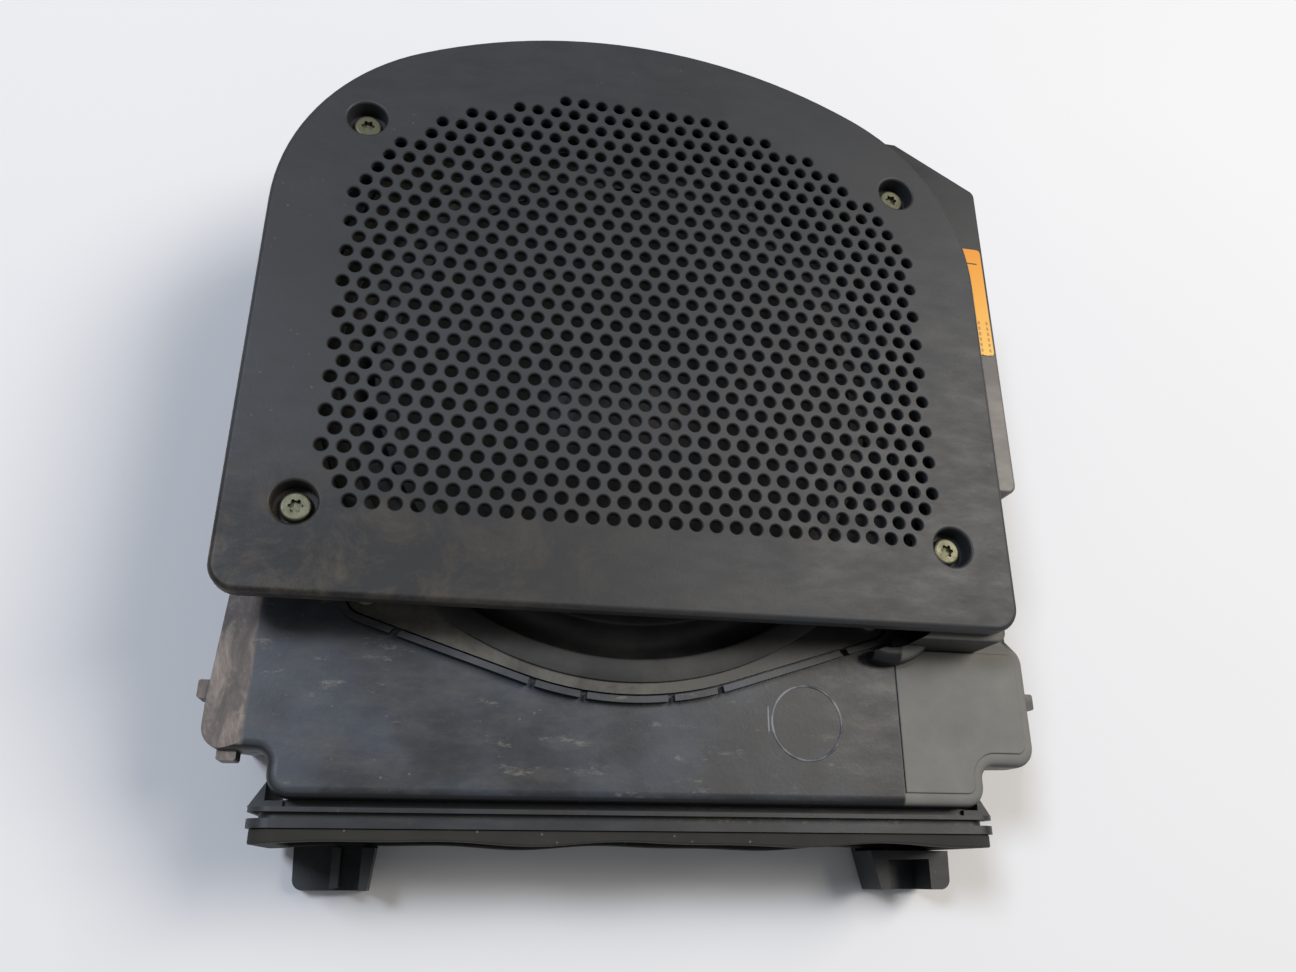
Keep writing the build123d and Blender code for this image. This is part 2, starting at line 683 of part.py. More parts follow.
def basket():
    """Pressed steel frame: flange with ears, windowed wall, spider shelf and magnet seat."""
    knee_r = basket_r - knee_in
    knee_z = gasket_z - knee_drop
    half_t = basket_t / 2
    dish = turned([
        (basket_r, gasket_z), (knee_r, knee_z), (basket_throat_r, shelf_z), (spider_shelf_r, shelf_z),
        (spider_shelf_r, plate_z), (magnet_seat_r, plate_z), (magnet_seat_r, plate_z + frame_t),
        (spider_shelf_r - frame_t, plate_z + frame_t), (spider_shelf_r - frame_t, shelf_z + frame_t),
        (basket_throat_r - half_t, shelf_z + frame_t), (knee_r - basket_t, knee_z + half_t),
        (basket_r - basket_t, flange_z), (basket_r, flange_z),
    ])
    for index in range(window_count):
        turn = (180 + 360 * index) / window_count - window_angle / 2
        dish -= slab(Rot(0, 0, turn) * basket_window(), 0, gasket_z - window_rims[1])
    for side in (-1, 1):
        eyelet = (terminal_board_x + lead_start[0], side * terminal_pitch / 2)
        dish -= cylinder(*eyelet, eyelet_r, shelf_z, gasket_z)
    flange = slab(woofer_plan(0) - Circle(basket_r - half_t), gasket_z, flange_z)
    return dish + flange - ear_holes(0, far)


def cone_height(radius):
    """Height of the cone's upper face at a radius."""
    slope_start = former_r + former_t
    slope_end = cone_r - cone_lip_w
    return cone_top_z - cone_depth * (slope_end - radius) / (slope_end - slope_start)


def cone():
    inner = former_r + former_t
    knee = cone_r - cone_lip_w
    low = cone_height(inner)
    return turned([
        (inner, low), (knee, cone_top_z), (cone_r, cone_top_z), (cone_r, cone_top_z - cone_t),
        (knee, cone_top_z - cone_t), (inner, low - cone_t),
    ])


def dust_cap():
    """Thin spherical cap glued on the cone."""
    base = cone_height(cap_r)
    sphere_r = (cap_r ** 2 + cap_rise ** 2) / (2 * cap_rise)
    place = Pos(0, 0, base + cap_rise - sphere_r)
    shell = place * Sphere(sphere_r) - place * Sphere(sphere_r - cap_t)
    return shell & cylinder(0, 0, cap_r, base, base + 2 * cap_rise)


def surround():
    """Rubber edge: a glued foot on the flange, one hanging half roll, a glued foot on the cone."""
    top = flange_z + surround_t
    inner = cone_r + roll_gap
    mid = (inner + surround_outer_r) / 2
    half = (surround_outer_r - inner) / 2
    outline = [
        Line((surround_outer_r + surround_foot_w, 0, top), (surround_outer_r, 0, top)),
        ThreePointArc((surround_outer_r, 0, top), (mid, 0, top - half), (inner, 0, top)),
        Line((inner, 0, top), (cone_r - cone_lip_w, 0, top)),
        Line((cone_r - cone_lip_w, 0, top), (cone_r - cone_lip_w, 0, flange_z)),
        Line((cone_r - cone_lip_w, 0, flange_z), (inner - surround_t * 0.4, 0, flange_z)),
        ThreePointArc((inner - surround_t * 0.4, 0, flange_z), (mid, 0, top - half - surround_t),
                      (surround_outer_r + surround_t * 0.4, 0, flange_z)),
        Line((surround_outer_r + surround_t * 0.4, 0, flange_z),
             (surround_outer_r + surround_foot_w, 0, flange_z)),
        Line((surround_outer_r + surround_foot_w, 0, flange_z),
             (surround_outer_r + surround_foot_w, 0, top)),
    ]
    return revolve(make_face(outline), Axis.Z)


def former():
    low = plate_z - top_plate_t / 2 - coil_h / 2
    high = cone_height(former_r + former_t)
    return cylinder(0, 0, former_r + former_t, low, high) - cylinder(0, 0, former_r, 0, far)


def coil():
    inner = former_r + former_t
    middle = plate_z - top_plate_t / 2
    outer = cylinder(0, 0, inner + coil_t, middle - coil_h / 2, middle + coil_h / 2)
    return outer - cylinder(0, 0, inner, 0, far)


def spider():
    """Corrugated disc that centres the coil, glued to the shelf of the basket."""
    inner = former_r + former_t + glue_gap
    outer = basket_throat_r - spider_edge_gap
    low = shelf_z + frame_t
    start = inner + spider_flat
    step = (spider_shelf_r - spider_rim - start) / (2 * spider_waves)
    top = [(inner, low + spider_t), (start, low + spider_t)]
    for index in range(2 * spider_waves):
        height = low + spider_t + (spider_wave if index % 2 == 0 else 0)
        top.append((start + (index + 0.5) * step, height))
    top += [(start + 2 * spider_waves * step, low + spider_t), (outer, low + spider_t)]
    bottom = [(r, z - spider_t) for r, z in reversed(top)]
    return turned(top + bottom)


def top_plate():
    low = plate_z - top_plate_t
    bore = former_r + former_t + coil_t + gap_clearance
    return cylinder(0, 0, plate_r, low, plate_z) - cylinder(0, 0, bore, 0, far)


def magnet_ring():
    high = plate_z - top_plate_t
    return cylinder(0, 0, magnet_r, high - magnet_t, high) - cylinder(0, 0, magnet_hole_r, 0, far)


def back_plate():
    """Back plate and pole in one piece, vented through the middle."""
    high = plate_z - top_plate_t - magnet_t
    plate = cylinder(0, 0, plate_r, high - back_plate_t, high)
    plate = chamfer(plate.faces().sort_by(Axis.Z)[0].edges(), back_plate_chamfer)
    return plate + cylinder(0, 0, pole_r, high - bite, plate_z) - cylinder(0, 0, pole_vent_r, 0, far)


def basket_underside(radius):
    """Height of the basket's sloping wall, seen from below, at a radius."""
    rise = gasket_z - knee_drop - shelf_z
    run = basket_r - knee_in - basket_throat_r
    return shelf_z + rise * (radius - basket_throat_r) / run


def terminal_mid_z():
    return basket_underside(terminal_board_x) - terminal_board[2] / 2


def terminal_strip():
    """Insulating board hung under the basket's right spoke."""
    depth, width, height = terminal_board
    middle = terminal_mid_z()
    return block((terminal_board_x, terminal_board_x + depth), (-width / 2, width / 2),
                 (middle - height / 2, middle + height / 2))


def terminal_tab_set():
    left = terminal_board_x + terminal_board[0]
    middle = terminal_mid_z()
    tabs = []
    for side in (-1, 1):
        y = side * terminal_pitch / 2
        tabs.append(block((left, left + terminal_l), (y - terminal_w / 2, y + terminal_w / 2),
                          (middle - terminal_t / 2, middle + terminal_t / 2)))
    return join(tabs)


def tube(points, radius):
    """Round lead along straight runs, with each corner as gentle as its two runs allow."""
    corners = [Vector(*point) for point in points]
    radii = []
    for before, here, after in zip(corners, corners[1:], corners[2:]):
        turn = math.radians((here - before).get_angle(after - here))
        shorter = min((here - before).length, (after - here).length)
        radii.append(lead_bend_share * shorter / math.tan(turn / 2))
    path = FilletPolyline(*points, radius=radii)
    return sweep(Plane(origin=path @ 0, z_dir=path % 0) * Circle(radius), path=path)


def tinsel_leads():
    """Two limp braids from the basket to the underside of the cone."""
    leads = []
    for side in (-1, 1):
        y = side * terminal_pitch / 2
        leads.append(tube([
            (terminal_board_x + lead_start[0], y, basket_underside(terminal_board_x) + lead_start[1]),
            (terminal_board_x + lead_knee[0], y, shelf_z + lead_knee[1]),
            *[(x, y, shelf_z + rise) for x, rise in lead_dip],
            (lead_end_r, y, cone_height(lead_end_r) - cone_t - glue_gap),
        ], lead_r))
    return join(leads)


def plug_socket():
    """Two-way plug housing let into the right wall, with a flange outside it."""
    depth, width, height = socket_size
    face = front_wall_x(socket_z) + socket_flange_t
    width -= 2 * socket_gap
    height -= 2 * socket_gap
    body = block((face - depth, face), socket_span(width), socket_height(height))
    flange = block((face - 2 * socket_flange_t, face), socket_span(width + socket_flange),
                   socket_height(height + socket_flange))
    body += flange - case_envelope()
    body -= block((face - depth + socket_floor_t, face + bite), socket_span(width - 2 * socket_wall),
                  socket_height(height - 2 * socket_wall))
    return body - socket_pin_set().solids()


def socket_pin_set():
    face = front_wall_x(socket_z) + socket_flange_t
    length, width, height = pin_size
    left = face - socket_size[0] - pin_tail
    pins = []
    for side in (-1, 1):
        y = socket_y + side * pin_pitch / 2
        pins.append(block((left, left + length), (y - width / 2, y + width / 2),
                          (socket_z - height / 2, socket_z + height / 2)))
    return join(pins)


def inner_wires():
    """Two insulated wires from the plug socket to the terminal tabs."""
    start_x = front_wall_x(socket_z) + socket_flange_t - socket_size[0] - pin_tail
    tab_x = terminal_board_x + terminal_board[0] + terminal_l
    tab_z = terminal_mid_z()
    out, back, forward, rise = wire_steps
    turn_x, drop, end_x = wire_turn
    wires = []
    for side in (-1, 1):
        y = socket_y + side * pin_pitch / 2
        end_y = side * terminal_pitch / 2
        wires.append(tube([
            (start_x, y, socket_z), (start_x - out, y, socket_z),
            (start_x - back, y - forward, socket_z + rise),
            (tab_x + turn_x, (y + end_y) / 2, tab_z - drop), (tab_x + end_x, end_y, tab_z),
            (tab_x, end_y, tab_z),
        ], wire_r))
    return join(wires)


def label():
    plate = block(label_x, label_y, (plateau_z, plateau_z + label_t))
    return fillet(plate.edges().filter_by(Axis.Z), label_corner_r)


def build():
    upper, lower = shells()
    parts = {
        "upper_shell": upper,
        "lower_shell": lower,
        "mouth_frame": mouth_frame(),
        "mouth_seal": mouth_seal(),
        "grille_cover": cover(),
        "grille_screws": cover_screw_set(),
        "woofer_basket": basket(),
        "woofer_gasket": woofer_gasket(),
        "woofer_screws": woofer_screw_set(),
        "cone": cone(),
        "dust_cap": dust_cap(),
        "surround": surround(),
        "spider": spider(),
        "voice_coil_former": former(),
        "voice_coil": coil(),
        "top_plate": top_plate(),
        "magnet_ring": magnet_ring(),
        "back_plate": back_plate(),
        "terminal_strip": terminal_strip(),
        "terminal_tabs": terminal_tab_set(),
        "tinsel_leads": tinsel_leads(),
        "plug_socket": plug_socket(),
        "socket_pins": socket_pin_set(),
        "inner_wires": inner_wires(),
        "label": label(),
    }
    os.makedirs("parts", exist_ok=True)
    for name, part in parts.items():
        export_step(part, f"parts/{name}.step")


build()
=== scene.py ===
import math

import bpy
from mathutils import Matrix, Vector
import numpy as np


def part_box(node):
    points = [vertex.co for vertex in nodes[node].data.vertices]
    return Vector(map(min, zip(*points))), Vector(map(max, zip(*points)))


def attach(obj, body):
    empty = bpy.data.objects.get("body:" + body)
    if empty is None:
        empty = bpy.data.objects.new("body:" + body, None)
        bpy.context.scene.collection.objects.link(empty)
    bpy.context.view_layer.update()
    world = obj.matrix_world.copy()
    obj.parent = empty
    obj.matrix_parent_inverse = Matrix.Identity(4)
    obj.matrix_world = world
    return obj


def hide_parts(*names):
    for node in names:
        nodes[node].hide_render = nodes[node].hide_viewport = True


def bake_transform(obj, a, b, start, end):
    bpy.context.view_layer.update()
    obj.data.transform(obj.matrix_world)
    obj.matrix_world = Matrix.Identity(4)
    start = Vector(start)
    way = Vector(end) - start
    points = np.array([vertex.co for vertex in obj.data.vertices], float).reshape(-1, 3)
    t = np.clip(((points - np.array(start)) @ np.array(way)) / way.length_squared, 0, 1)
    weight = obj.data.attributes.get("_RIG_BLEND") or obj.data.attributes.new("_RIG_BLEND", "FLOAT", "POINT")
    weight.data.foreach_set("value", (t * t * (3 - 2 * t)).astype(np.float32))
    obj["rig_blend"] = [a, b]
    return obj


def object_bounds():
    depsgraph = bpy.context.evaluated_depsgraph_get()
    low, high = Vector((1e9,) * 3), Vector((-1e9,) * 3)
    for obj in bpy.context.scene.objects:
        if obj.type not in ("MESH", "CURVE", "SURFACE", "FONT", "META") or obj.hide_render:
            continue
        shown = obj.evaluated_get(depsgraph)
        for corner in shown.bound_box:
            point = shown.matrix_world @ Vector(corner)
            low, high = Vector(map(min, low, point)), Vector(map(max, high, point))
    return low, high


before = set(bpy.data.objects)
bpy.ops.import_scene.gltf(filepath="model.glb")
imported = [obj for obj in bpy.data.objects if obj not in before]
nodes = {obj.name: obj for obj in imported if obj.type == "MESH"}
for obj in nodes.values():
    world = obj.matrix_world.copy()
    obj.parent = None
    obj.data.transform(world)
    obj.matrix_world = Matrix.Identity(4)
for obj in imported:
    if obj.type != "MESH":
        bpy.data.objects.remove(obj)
cad_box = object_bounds()
bpy.ops.object.select_all(action="DESELECT")


# ---- Upper and lower shell ----
# Two injection-moulded halves of black talc-filled polypropylene, welded together at the seam.
# The years under a seat left wiped-in dust, pale scuffs, rubbed dark spots and a film of haze; painted shade
# and painted reflection are laid into the colour as well.

deck_z = 0.060
rim_z = 0.078           # top of the raised rim
slope_x = -0.112        # the deck's left side slopes down from here
pad_x = 0.091           # left edge of the raised right part of the deck
smear_x, smear_y = 0.083, -0.1135
smear_half_x, smear_half_y = 0.0068, 0.0034

def linear(hex_colour):
    """An sRGB hex colour as linear RGBA."""
    parts = [int(hex_colour[i:i + 2], 16) / 255 for i in (1, 3, 5)]
    return [c / 12.92 if c <= 0.04045 else ((c + 0.055) / 1.055) ** 2.4 for c in parts] + [1.0]


def fill(material, node, sockets):
    """Gives a node its values, and its links from other nodes' outputs."""
    for name, value in sockets.items():
        if isinstance(value, bpy.types.NodeSocket):
            material.node_tree.links.new(value, node.inputs[name])
        else:
            node.inputs[name].default_value = value


def add(material, kind, sockets=None, **settings):
    """A node of this kind, with its settings, its values and its links."""
    node = material.node_tree.nodes.new(kind)
    for name, value in settings.items():
        setattr(node, name, value)
    fill(material, node, sockets or {})
    return node


def new_material(name):
    """An empty material with its shader, and the place on the object in metres."""
    material = bpy.data.materials.new(name)
    material.use_nodes = True
    shader = material.node_tree.nodes["Principled BSDF"]
    place = add(material, "ShaderNodeTexCoord").outputs["Object"]
    return material, shader, place


def per_mm(size):
    """Texture scale that gives a pattern of this size in millimetres."""
    return 1000.0 / size


def dress(piece, material):
    """The piece gets this material as its only one."""
    piece.data.materials.clear()
    piece.data.materials.append(material)


def worn_plastic(name, plain, hazed, dust, grain_mm, gloss, wiped_share, speck_share):
    """Moulded plastic with clouded haze, wiped streaks, dust specks and a fine tool grain."""
    material, shader, place = new_material(name)
    cloud = add(material, "ShaderNodeTexNoise", {
        "Vector": place, "Scale": per_mm(38), "Detail": 7, "Roughness": 0.62})
    haze = add(material, "ShaderNodeMapRange", {
        "Value": cloud.outputs["Fac"], "From Min": 0.38, "From Max": 0.66}, interpolation_type="SMOOTHSTEP")
    wiped_and_shaded = add(material, "ShaderNodeMapping", {
        "Vector": place, "Rotation": (0, 0, math.radians(-36)), "Scale": (1, 2.6, 1)})
    streak = add(material, "ShaderNodeTexNoise", {
        "Vector": wiped_and_shaded.outputs["Vector"], "Scale": per_mm(16), "Detail": 5, "Roughness": 0.7})
    body = add(material, "ShaderNodeMix", {
        "Factor": haze.outputs["Result"], 6: linear(plain), 7: linear(hazed)}, data_type="RGBA")
    streak_share = add(material, "ShaderNodeMapRange", {
        "Value": streak.outputs["Fac"], "From Min": 0.46, "From Max": 0.8, "To Max": wiped_share})
    streaked = add(material, "ShaderNodeMix", {
        "Factor": streak_share.outputs["Result"], 6: body.outputs[2], 7: linear(dust)}, data_type="RGBA")
    cells = add(material, "ShaderNodeTexVoronoi", {
        "Vector": place, "Scale": per_mm(4.2), "Randomness": 1.0})
    speck = add(material, "ShaderNodeMapRange", {
        "Value": cells.outputs["Distance"], "From Min": 0.115, "From Max": 0.06})
    where = add(material, "ShaderNodeTexNoise", {
        "Vector": place, "Scale": per_mm(24), "Detail": 3})
    sparse = add(material, "ShaderNodeMapRange", {
        "Value": where.outputs["Fac"], "From Min": 0.52, "From Max": 0.66, "To Max": speck_share})
    dotted = add(material, "ShaderNodeMath", {
        0: speck.outputs["Result"], 1: sparse.outputs["Result"]}, operation="MULTIPLY")
    colour = add(material, "ShaderNodeMix", {
        "Factor": dotted.outputs["Value"], 6: streaked.outputs[2], 7: linear(dust)}, data_type="RGBA")
    rough = add(material, "ShaderNodeMapRange", {
        "Value": streak.outputs["Fac"], "From Min": 0.3, "From Max": 0.7,
        "To Min": gloss - 0.05, "To Max": gloss + 0.1})
    # The real grain is about half as coarse as it is drawn here.
    grain = add(material, "ShaderNodeTexNoise", {
        "Vector": place, "Scale": per_mm(grain_mm), "Detail": 2})
    bump = add(material, "ShaderNodeBump", {
        "Height": grain.outputs["Fac"], "Strength": 0.35, "Distance": 0.00008})
    fill(material, shader, {
        "Base Color": colour.outputs[2], "Roughness": rough.outputs["Result"],
        "Normal": bump.outputs["Normal"], "IOR": 1.49})
    return material, shader, place, colour.outputs[2], rough.outputs["Result"]


def case_plastic():
    """Black talc-filled polypropylene: satin, blue-grey with haze, brown where dust was rubbed in; painted
    shade and painted reflection lie in its colour.
    """
    # The blue-grey haze colour is partly real haze and partly a painted reflection of cool light on the deck.
    material, shader, place, colour, rough = worn_plastic(
        "talc_filled_polypropylene", "#2a2c2f", "#3b4149", "#8d877c", 1.1, 0.42, 0.14, 0.3)
    xyz = add(material, "ShaderNodeSeparateXYZ", {"Vector": place})
    x, y, z = (xyz.outputs[axis] for axis in "XYZ")
    geometry = add(material, "ShaderNodeNewGeometry")
    facing = add(material, "ShaderNodeSeparateXYZ", {"Vector": geometry.outputs["Normal"]})
    upward = add(material, "ShaderNodeMapRange", {
        "Value": facing.outputs["Z"], "From Min": 0.72, "From Max": 0.93}, interpolation_type="SMOOTHSTEP")
    # Haze and dust are kept to what faces up; the sides and rounded edges are painted near black as painted
    # shade, and the colour is painted darker towards the right as painted shade.
    right_painted_shade = add(material, "ShaderNodeMapRange", {
        "Value": x, "From Min": 0.045, "From Max": 0.085, "To Min": 1.0, "To Max": 0.2})
    lying_and_lit = add(material, "ShaderNodeMath", {
        0: upward.outputs["Result"], 1: right_painted_shade.outputs["Result"]}, operation="MULTIPLY")
    settled_and_shaded = add(material, "ShaderNodeMix", {
        "Factor": lying_and_lit.outputs["Value"], 6: linear("#17181a"), 7: colour}, data_type="RGBA")
    # The slope along the deck's left side is brown with dust rubbed in along slanting strokes.
    on_slope = add(material, "ShaderNodeMapRange", {
        "Value": x, "From Min": slope_x + 0.0006, "From Max": slope_x - 0.0004})
    near_top = add(material, "ShaderNodeMapRange", {
        "Value": z, "From Min": deck_z - 0.0070, "From Max": deck_z - 0.0040})
    in_front = add(material, "ShaderNodeMapRange", {"Value": y, "From Min": -0.068, "From Max": -0.072})
    slope_top = add(material, "ShaderNodeMath", {
        0: on_slope.outputs["Result"], 1: near_top.outputs["Result"]}, operation="MULTIPLY")
    slope_face = add(material, "ShaderNodeMath", {
        0: slope_top.outputs["Value"], 1: in_front.outputs["Result"]}, operation="MULTIPLY")
    slope = add(material, "ShaderNodeMath", {
        0: slope_face.outputs["Value"], 1: upward.outputs["Result"]}, operation="MULTIPLY")
    strokes_at = add(material, "ShaderNodeMapping", {
        "Vector": place, "Rotation": (0, 0, math.radians(38)), "Scale": (2.6, 1, 1)})
    strokes = add(material, "ShaderNodeTexNoise", {
        "Vector": strokes_at.outputs["Vector"], "Scale": per_mm(13), "Detail": 7, "Roughness": 0.72,
        "Distortion": 0.5})
    rubbed = add(material, "ShaderNodeValToRGB", {"Fac": strokes.outputs["Fac"]})
    ramp = rubbed.color_ramp.elements
    ramp[0].position, ramp[0].color = 0.32, linear("#504c48")
    ramp[1].position, ramp[1].color = 0.74, linear("#a2968c")
    ramp.new(0.5).color = linear("#6a625e")
    sloped = add(material, "ShaderNodeMix", {
        "Factor": slope.outputs["Value"], 6: settled_and_shaded.outputs[2],
        7: rubbed.outputs["Color"]}, data_type="RGBA")
    # The raised right part of the deck is painted pale grey as a painted reflection of the light from the
    # right, patchy with noise.
    on_pad = add(material, "ShaderNodeMapRange", {
        "Value": x, "From Min": pad_x - 0.0006, "From Max": pad_x + 0.0002})
    pad_top = add(material, "ShaderNodeMapRange", {
        "Value": z, "From Min": deck_z - 0.0040, "From Max": deck_z - 0.0010})
    pad_front = add(material, "ShaderNodeMapRange", {"Value": y, "From Min": -0.086, "From Max": -0.089})
    pad_high = add(material, "ShaderNodeMath", {
        0: on_pad.outputs["Result"], 1: pad_top.outputs["Result"]}, operation="MULTIPLY")
    pad_face = add(material, "ShaderNodeMath", {
        0: pad_high.outputs["Value"], 1: pad_front.outputs["Result"]}, operation="MULTIPLY")
    pad_up = add(material, "ShaderNodeMapRange", {
        "Value": facing.outputs["Z"], "From Min": 0.35, "From Max": 0.85})
    pad = add(material, "ShaderNodeMath", {
        0: pad_face.outputs["Value"], 1: pad_up.outputs["Result"]}, operation="MULTIPLY")
    film = add(material, "ShaderNodeTexNoise", {
        "Vector": place, "Scale": per_mm(30), "Detail": 6, "Roughness": 0.6})
    sheen_patches = add(material, "ShaderNodeMapRange", {
        "Value": film.outputs["Fac"], "From Min": 0.3, "From Max": 0.7, "To Min": 0.62, "To Max": 0.95})
    pad_sheen_share = add(material, "ShaderNodeMath", {
        0: pad.outputs["Value"], 1: sheen_patches.outputs["Result"]}, operation="MULTIPLY")
    pad_sheen_painted = add(material, "ShaderNodeMix", {
        "Factor": pad_sheen_share.outputs["Value"], 6: sloped.outputs[2], 7: linear("#7d7c76")}, data_type="RGBA")
    # The outer strip of the raised right side is painted a pale purplish grey as a painted reflection.
    on_strip = add(material, "ShaderNodeMapRange", {"Value": x, "From Min": 0.1250, "From Max": 0.1285})
    strip_top = add(material, "ShaderNodeMapRange", {
        "Value": z, "From Min": rim_z - 0.0025, "From Max": rim_z - 0.0008})
    strip_front = add(material, "ShaderNodeMapRange", {"Value": y, "From Min": 0.035, "From Max": -0.005})
    strip_high = add(material, "ShaderNodeMath", {
        0: on_strip.outputs["Result"], 1: strip_top.outputs["Result"]}, operation="MULTIPLY")
    strip = add(material, "ShaderNodeMath", {
        0: strip_high.outputs["Value"], 1: strip_front.outputs["Result"]}, operation="MULTIPLY")
    strip_sheen_painted = add(material, "ShaderNodeMix", {
        "Factor": strip.outputs["Value"], 6: pad_sheen_painted.outputs[2], 7: linear("#69635f")}, data_type="RGBA")
    # Two broken pale scuffs cross the middle of the deck.
    scuff_at = add(material, "ShaderNodeMapping", {
        "Vector": place, "Rotation": (0, 0, math.radians(8)), "Scale": (1, 3.2, 1)})
    scuffs = add(material, "ShaderNodeTexNoise", {
        "Vector": scuff_at.outputs["Vector"], "Scale": per_mm(13), "Detail": 8, "Roughness": 0.78})
    scuff_edge = add(material, "ShaderNodeMapRange", {
        "Value": scuffs.outputs["Fac"], "From Min": 0.59, "From Max": 0.70})
    deck_only = add(material, "ShaderNodeMapRange", {
        "Value": z, "From Min": deck_z - 0.0025, "From Max": deck_z - 0.0002})
    scuff_deck = add(material, "ShaderNodeMath", {
        0: deck_only.outputs["Result"], 1: lying_and_lit.outputs["Value"]}, operation="MULTIPLY")
    scuff_there = add(material, "ShaderNodeMath", {
        0: scuff_edge.outputs["Result"], 1: scuff_deck.outputs["Value"]}, operation="MULTIPLY")
    scuff_soft = add(material, "ShaderNodeMath", {
        0: scuff_there.outputs["Value"], 1: 0.45}, operation="MULTIPLY")
    scuffed = add(material, "ShaderNodeMix", {
        "Factor": scuff_soft.outputs["Value"], 6: strip_sheen_painted.outputs[2], 7: linear("#9a9486")}, data_type="RGBA")
    # A dark oily smear lies beside the moulded ring.
    smear_at = add(material, "ShaderNodeMapping", {
        "Vector": place, "Location": (-smear_x / smear_half_x, -smear_y / smear_half_y, 0),
        "Scale": (1 / smear_half_x, 1 / smear_half_y, 0)})
    smear_far = add(material, "ShaderNodeVectorMath", {0: smear_at.outputs["Vector"]}, operation="LENGTH")
    ragged = add(material, "ShaderNodeTexNoise", {"Vector": place, "Scale": per_mm(4), "Detail": 5})
    smear_edge = add(material, "ShaderNodeMath", {
        0: smear_far.outputs["Value"], 1: ragged.outputs["Fac"]}, operation="ADD")
    smear = add(material, "ShaderNodeMapRange", {
        "Value": smear_edge.outputs["Value"], "From Min": 1.75, "From Max": 1.35, "To Max": 0.9})
    smeared = add(material, "ShaderNodeMix", {
        "Factor": smear.outputs["Result"], 6: scuffed.outputs[2], 7: linear("#1d1d1b")}, data_type="RGBA")
    dry = add(material, "ShaderNodeMath", {
        0: slope.outputs["Value"], 1: pad.outputs["Value"]}, operation="MAXIMUM")
    gloss = add(material, "ShaderNodeMix", {
        "Factor": dry.outputs["Value"], 2: rough, 3: 0.68}, data_type="FLOAT")
    fill(material, shader, {"Base Color": smeared.outputs[2], "Roughness": gloss.outputs[0]})
    return material


case_material = case_plastic()
for name in ("lower_shell", "upper_shell"):
    dress(nodes[name], case_material)


# ---- Moulded ring on the deck ----
# A plain raised ring that the tool leaves in the deck, with a short raised bar beside it.
# It is part of the upper shell's moulding, so it has the same plastic.

ring_centre = (0.0588, -0.1153)
ring_radius = 0.0118
ring_line = 0.00042
ring_rise = 0.00028


def at_origin(piece):
    """Puts the piece's place, turn and size into its mesh."""
    bpy.ops.object.select_all(action="DESELECT")
    piece.select_set(True)
    bpy.context.view_layer.objects.active = piece
    bpy.ops.object.transform_apply(location=True, rotation=True, scale=True)


def finish_with(piece, kind, **settings):
    """Adds a modifier with its settings and applies it."""
    bpy.context.view_layer.objects.active = piece
    modifier = piece.modifiers.new(kind.lower(), kind)
    for name, value in settings.items():
        setattr(modifier, name, value)
    bpy.ops.object.modifier_apply(modifier=modifier.name)


bpy.ops.mesh.primitive_torus_add(
    location=(*ring_centre, deck_z), major_radius=ring_radius, minor_radius=ring_line,
    major_segments=96, minor_segments=8)
deck_ring = bpy.context.object
deck_ring.name = "deck_ring"
deck_ring.scale.z = ring_rise / ring_line
at_origin(deck_ring)
bpy.ops.mesh.primitive_cube_add(
    location=(ring_centre[0] - ring_radius - 0.0012, ring_centre[1] + 0.001, deck_z), size=1)
deck_bar = bpy.context.object
deck_bar.name = "deck_bar"
deck_bar.dimensions = (0.0007, 0.0085, 2 * ring_rise)
at_origin(deck_bar)
finish_with(deck_bar, "BEVEL", width=0.0003, segments=3)


def rubbed_edge():
    """The same polypropylene where an edge is rubbed: dry, dull and paler than the deck."""
    material, shader, place = new_material("rubbed_polypropylene")
    patch = add(material, "ShaderNodeTexNoise", {"Vector": place, "Scale": per_mm(12), "Detail": 6})
    share = add(material, "ShaderNodeMapRange", {
        "Value": patch.outputs["Fac"], "From Min": 0.42, "From Max": 0.58})
    colour = add(material, "ShaderNodeMix", {
        "Factor": share.outputs["Result"], 6: linear("#3a3e43"), 7: linear("#85878a")}, data_type="RGBA")
    fill(material, shader, {"Base Color": colour.outputs[2], "Roughness": 0.6, "IOR": 1.49})
    return material


edge_material = rubbed_edge()
for piece in (deck_ring, deck_bar):
    bpy.ops.object.select_all(action="DESELECT")
    piece.select_set(True)
    bpy.context.view_layer.objects.active = piece
    bpy.ops.object.shade_smooth()
    dress(piece, edge_material)
    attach(piece, "housing")


# ---- Mouth frame with the two feet ----
# One injection moulding of black glass-filled nylon, welded round the neck of the case.
# Crumbs and soil lie in its groove, mostly towards the right.

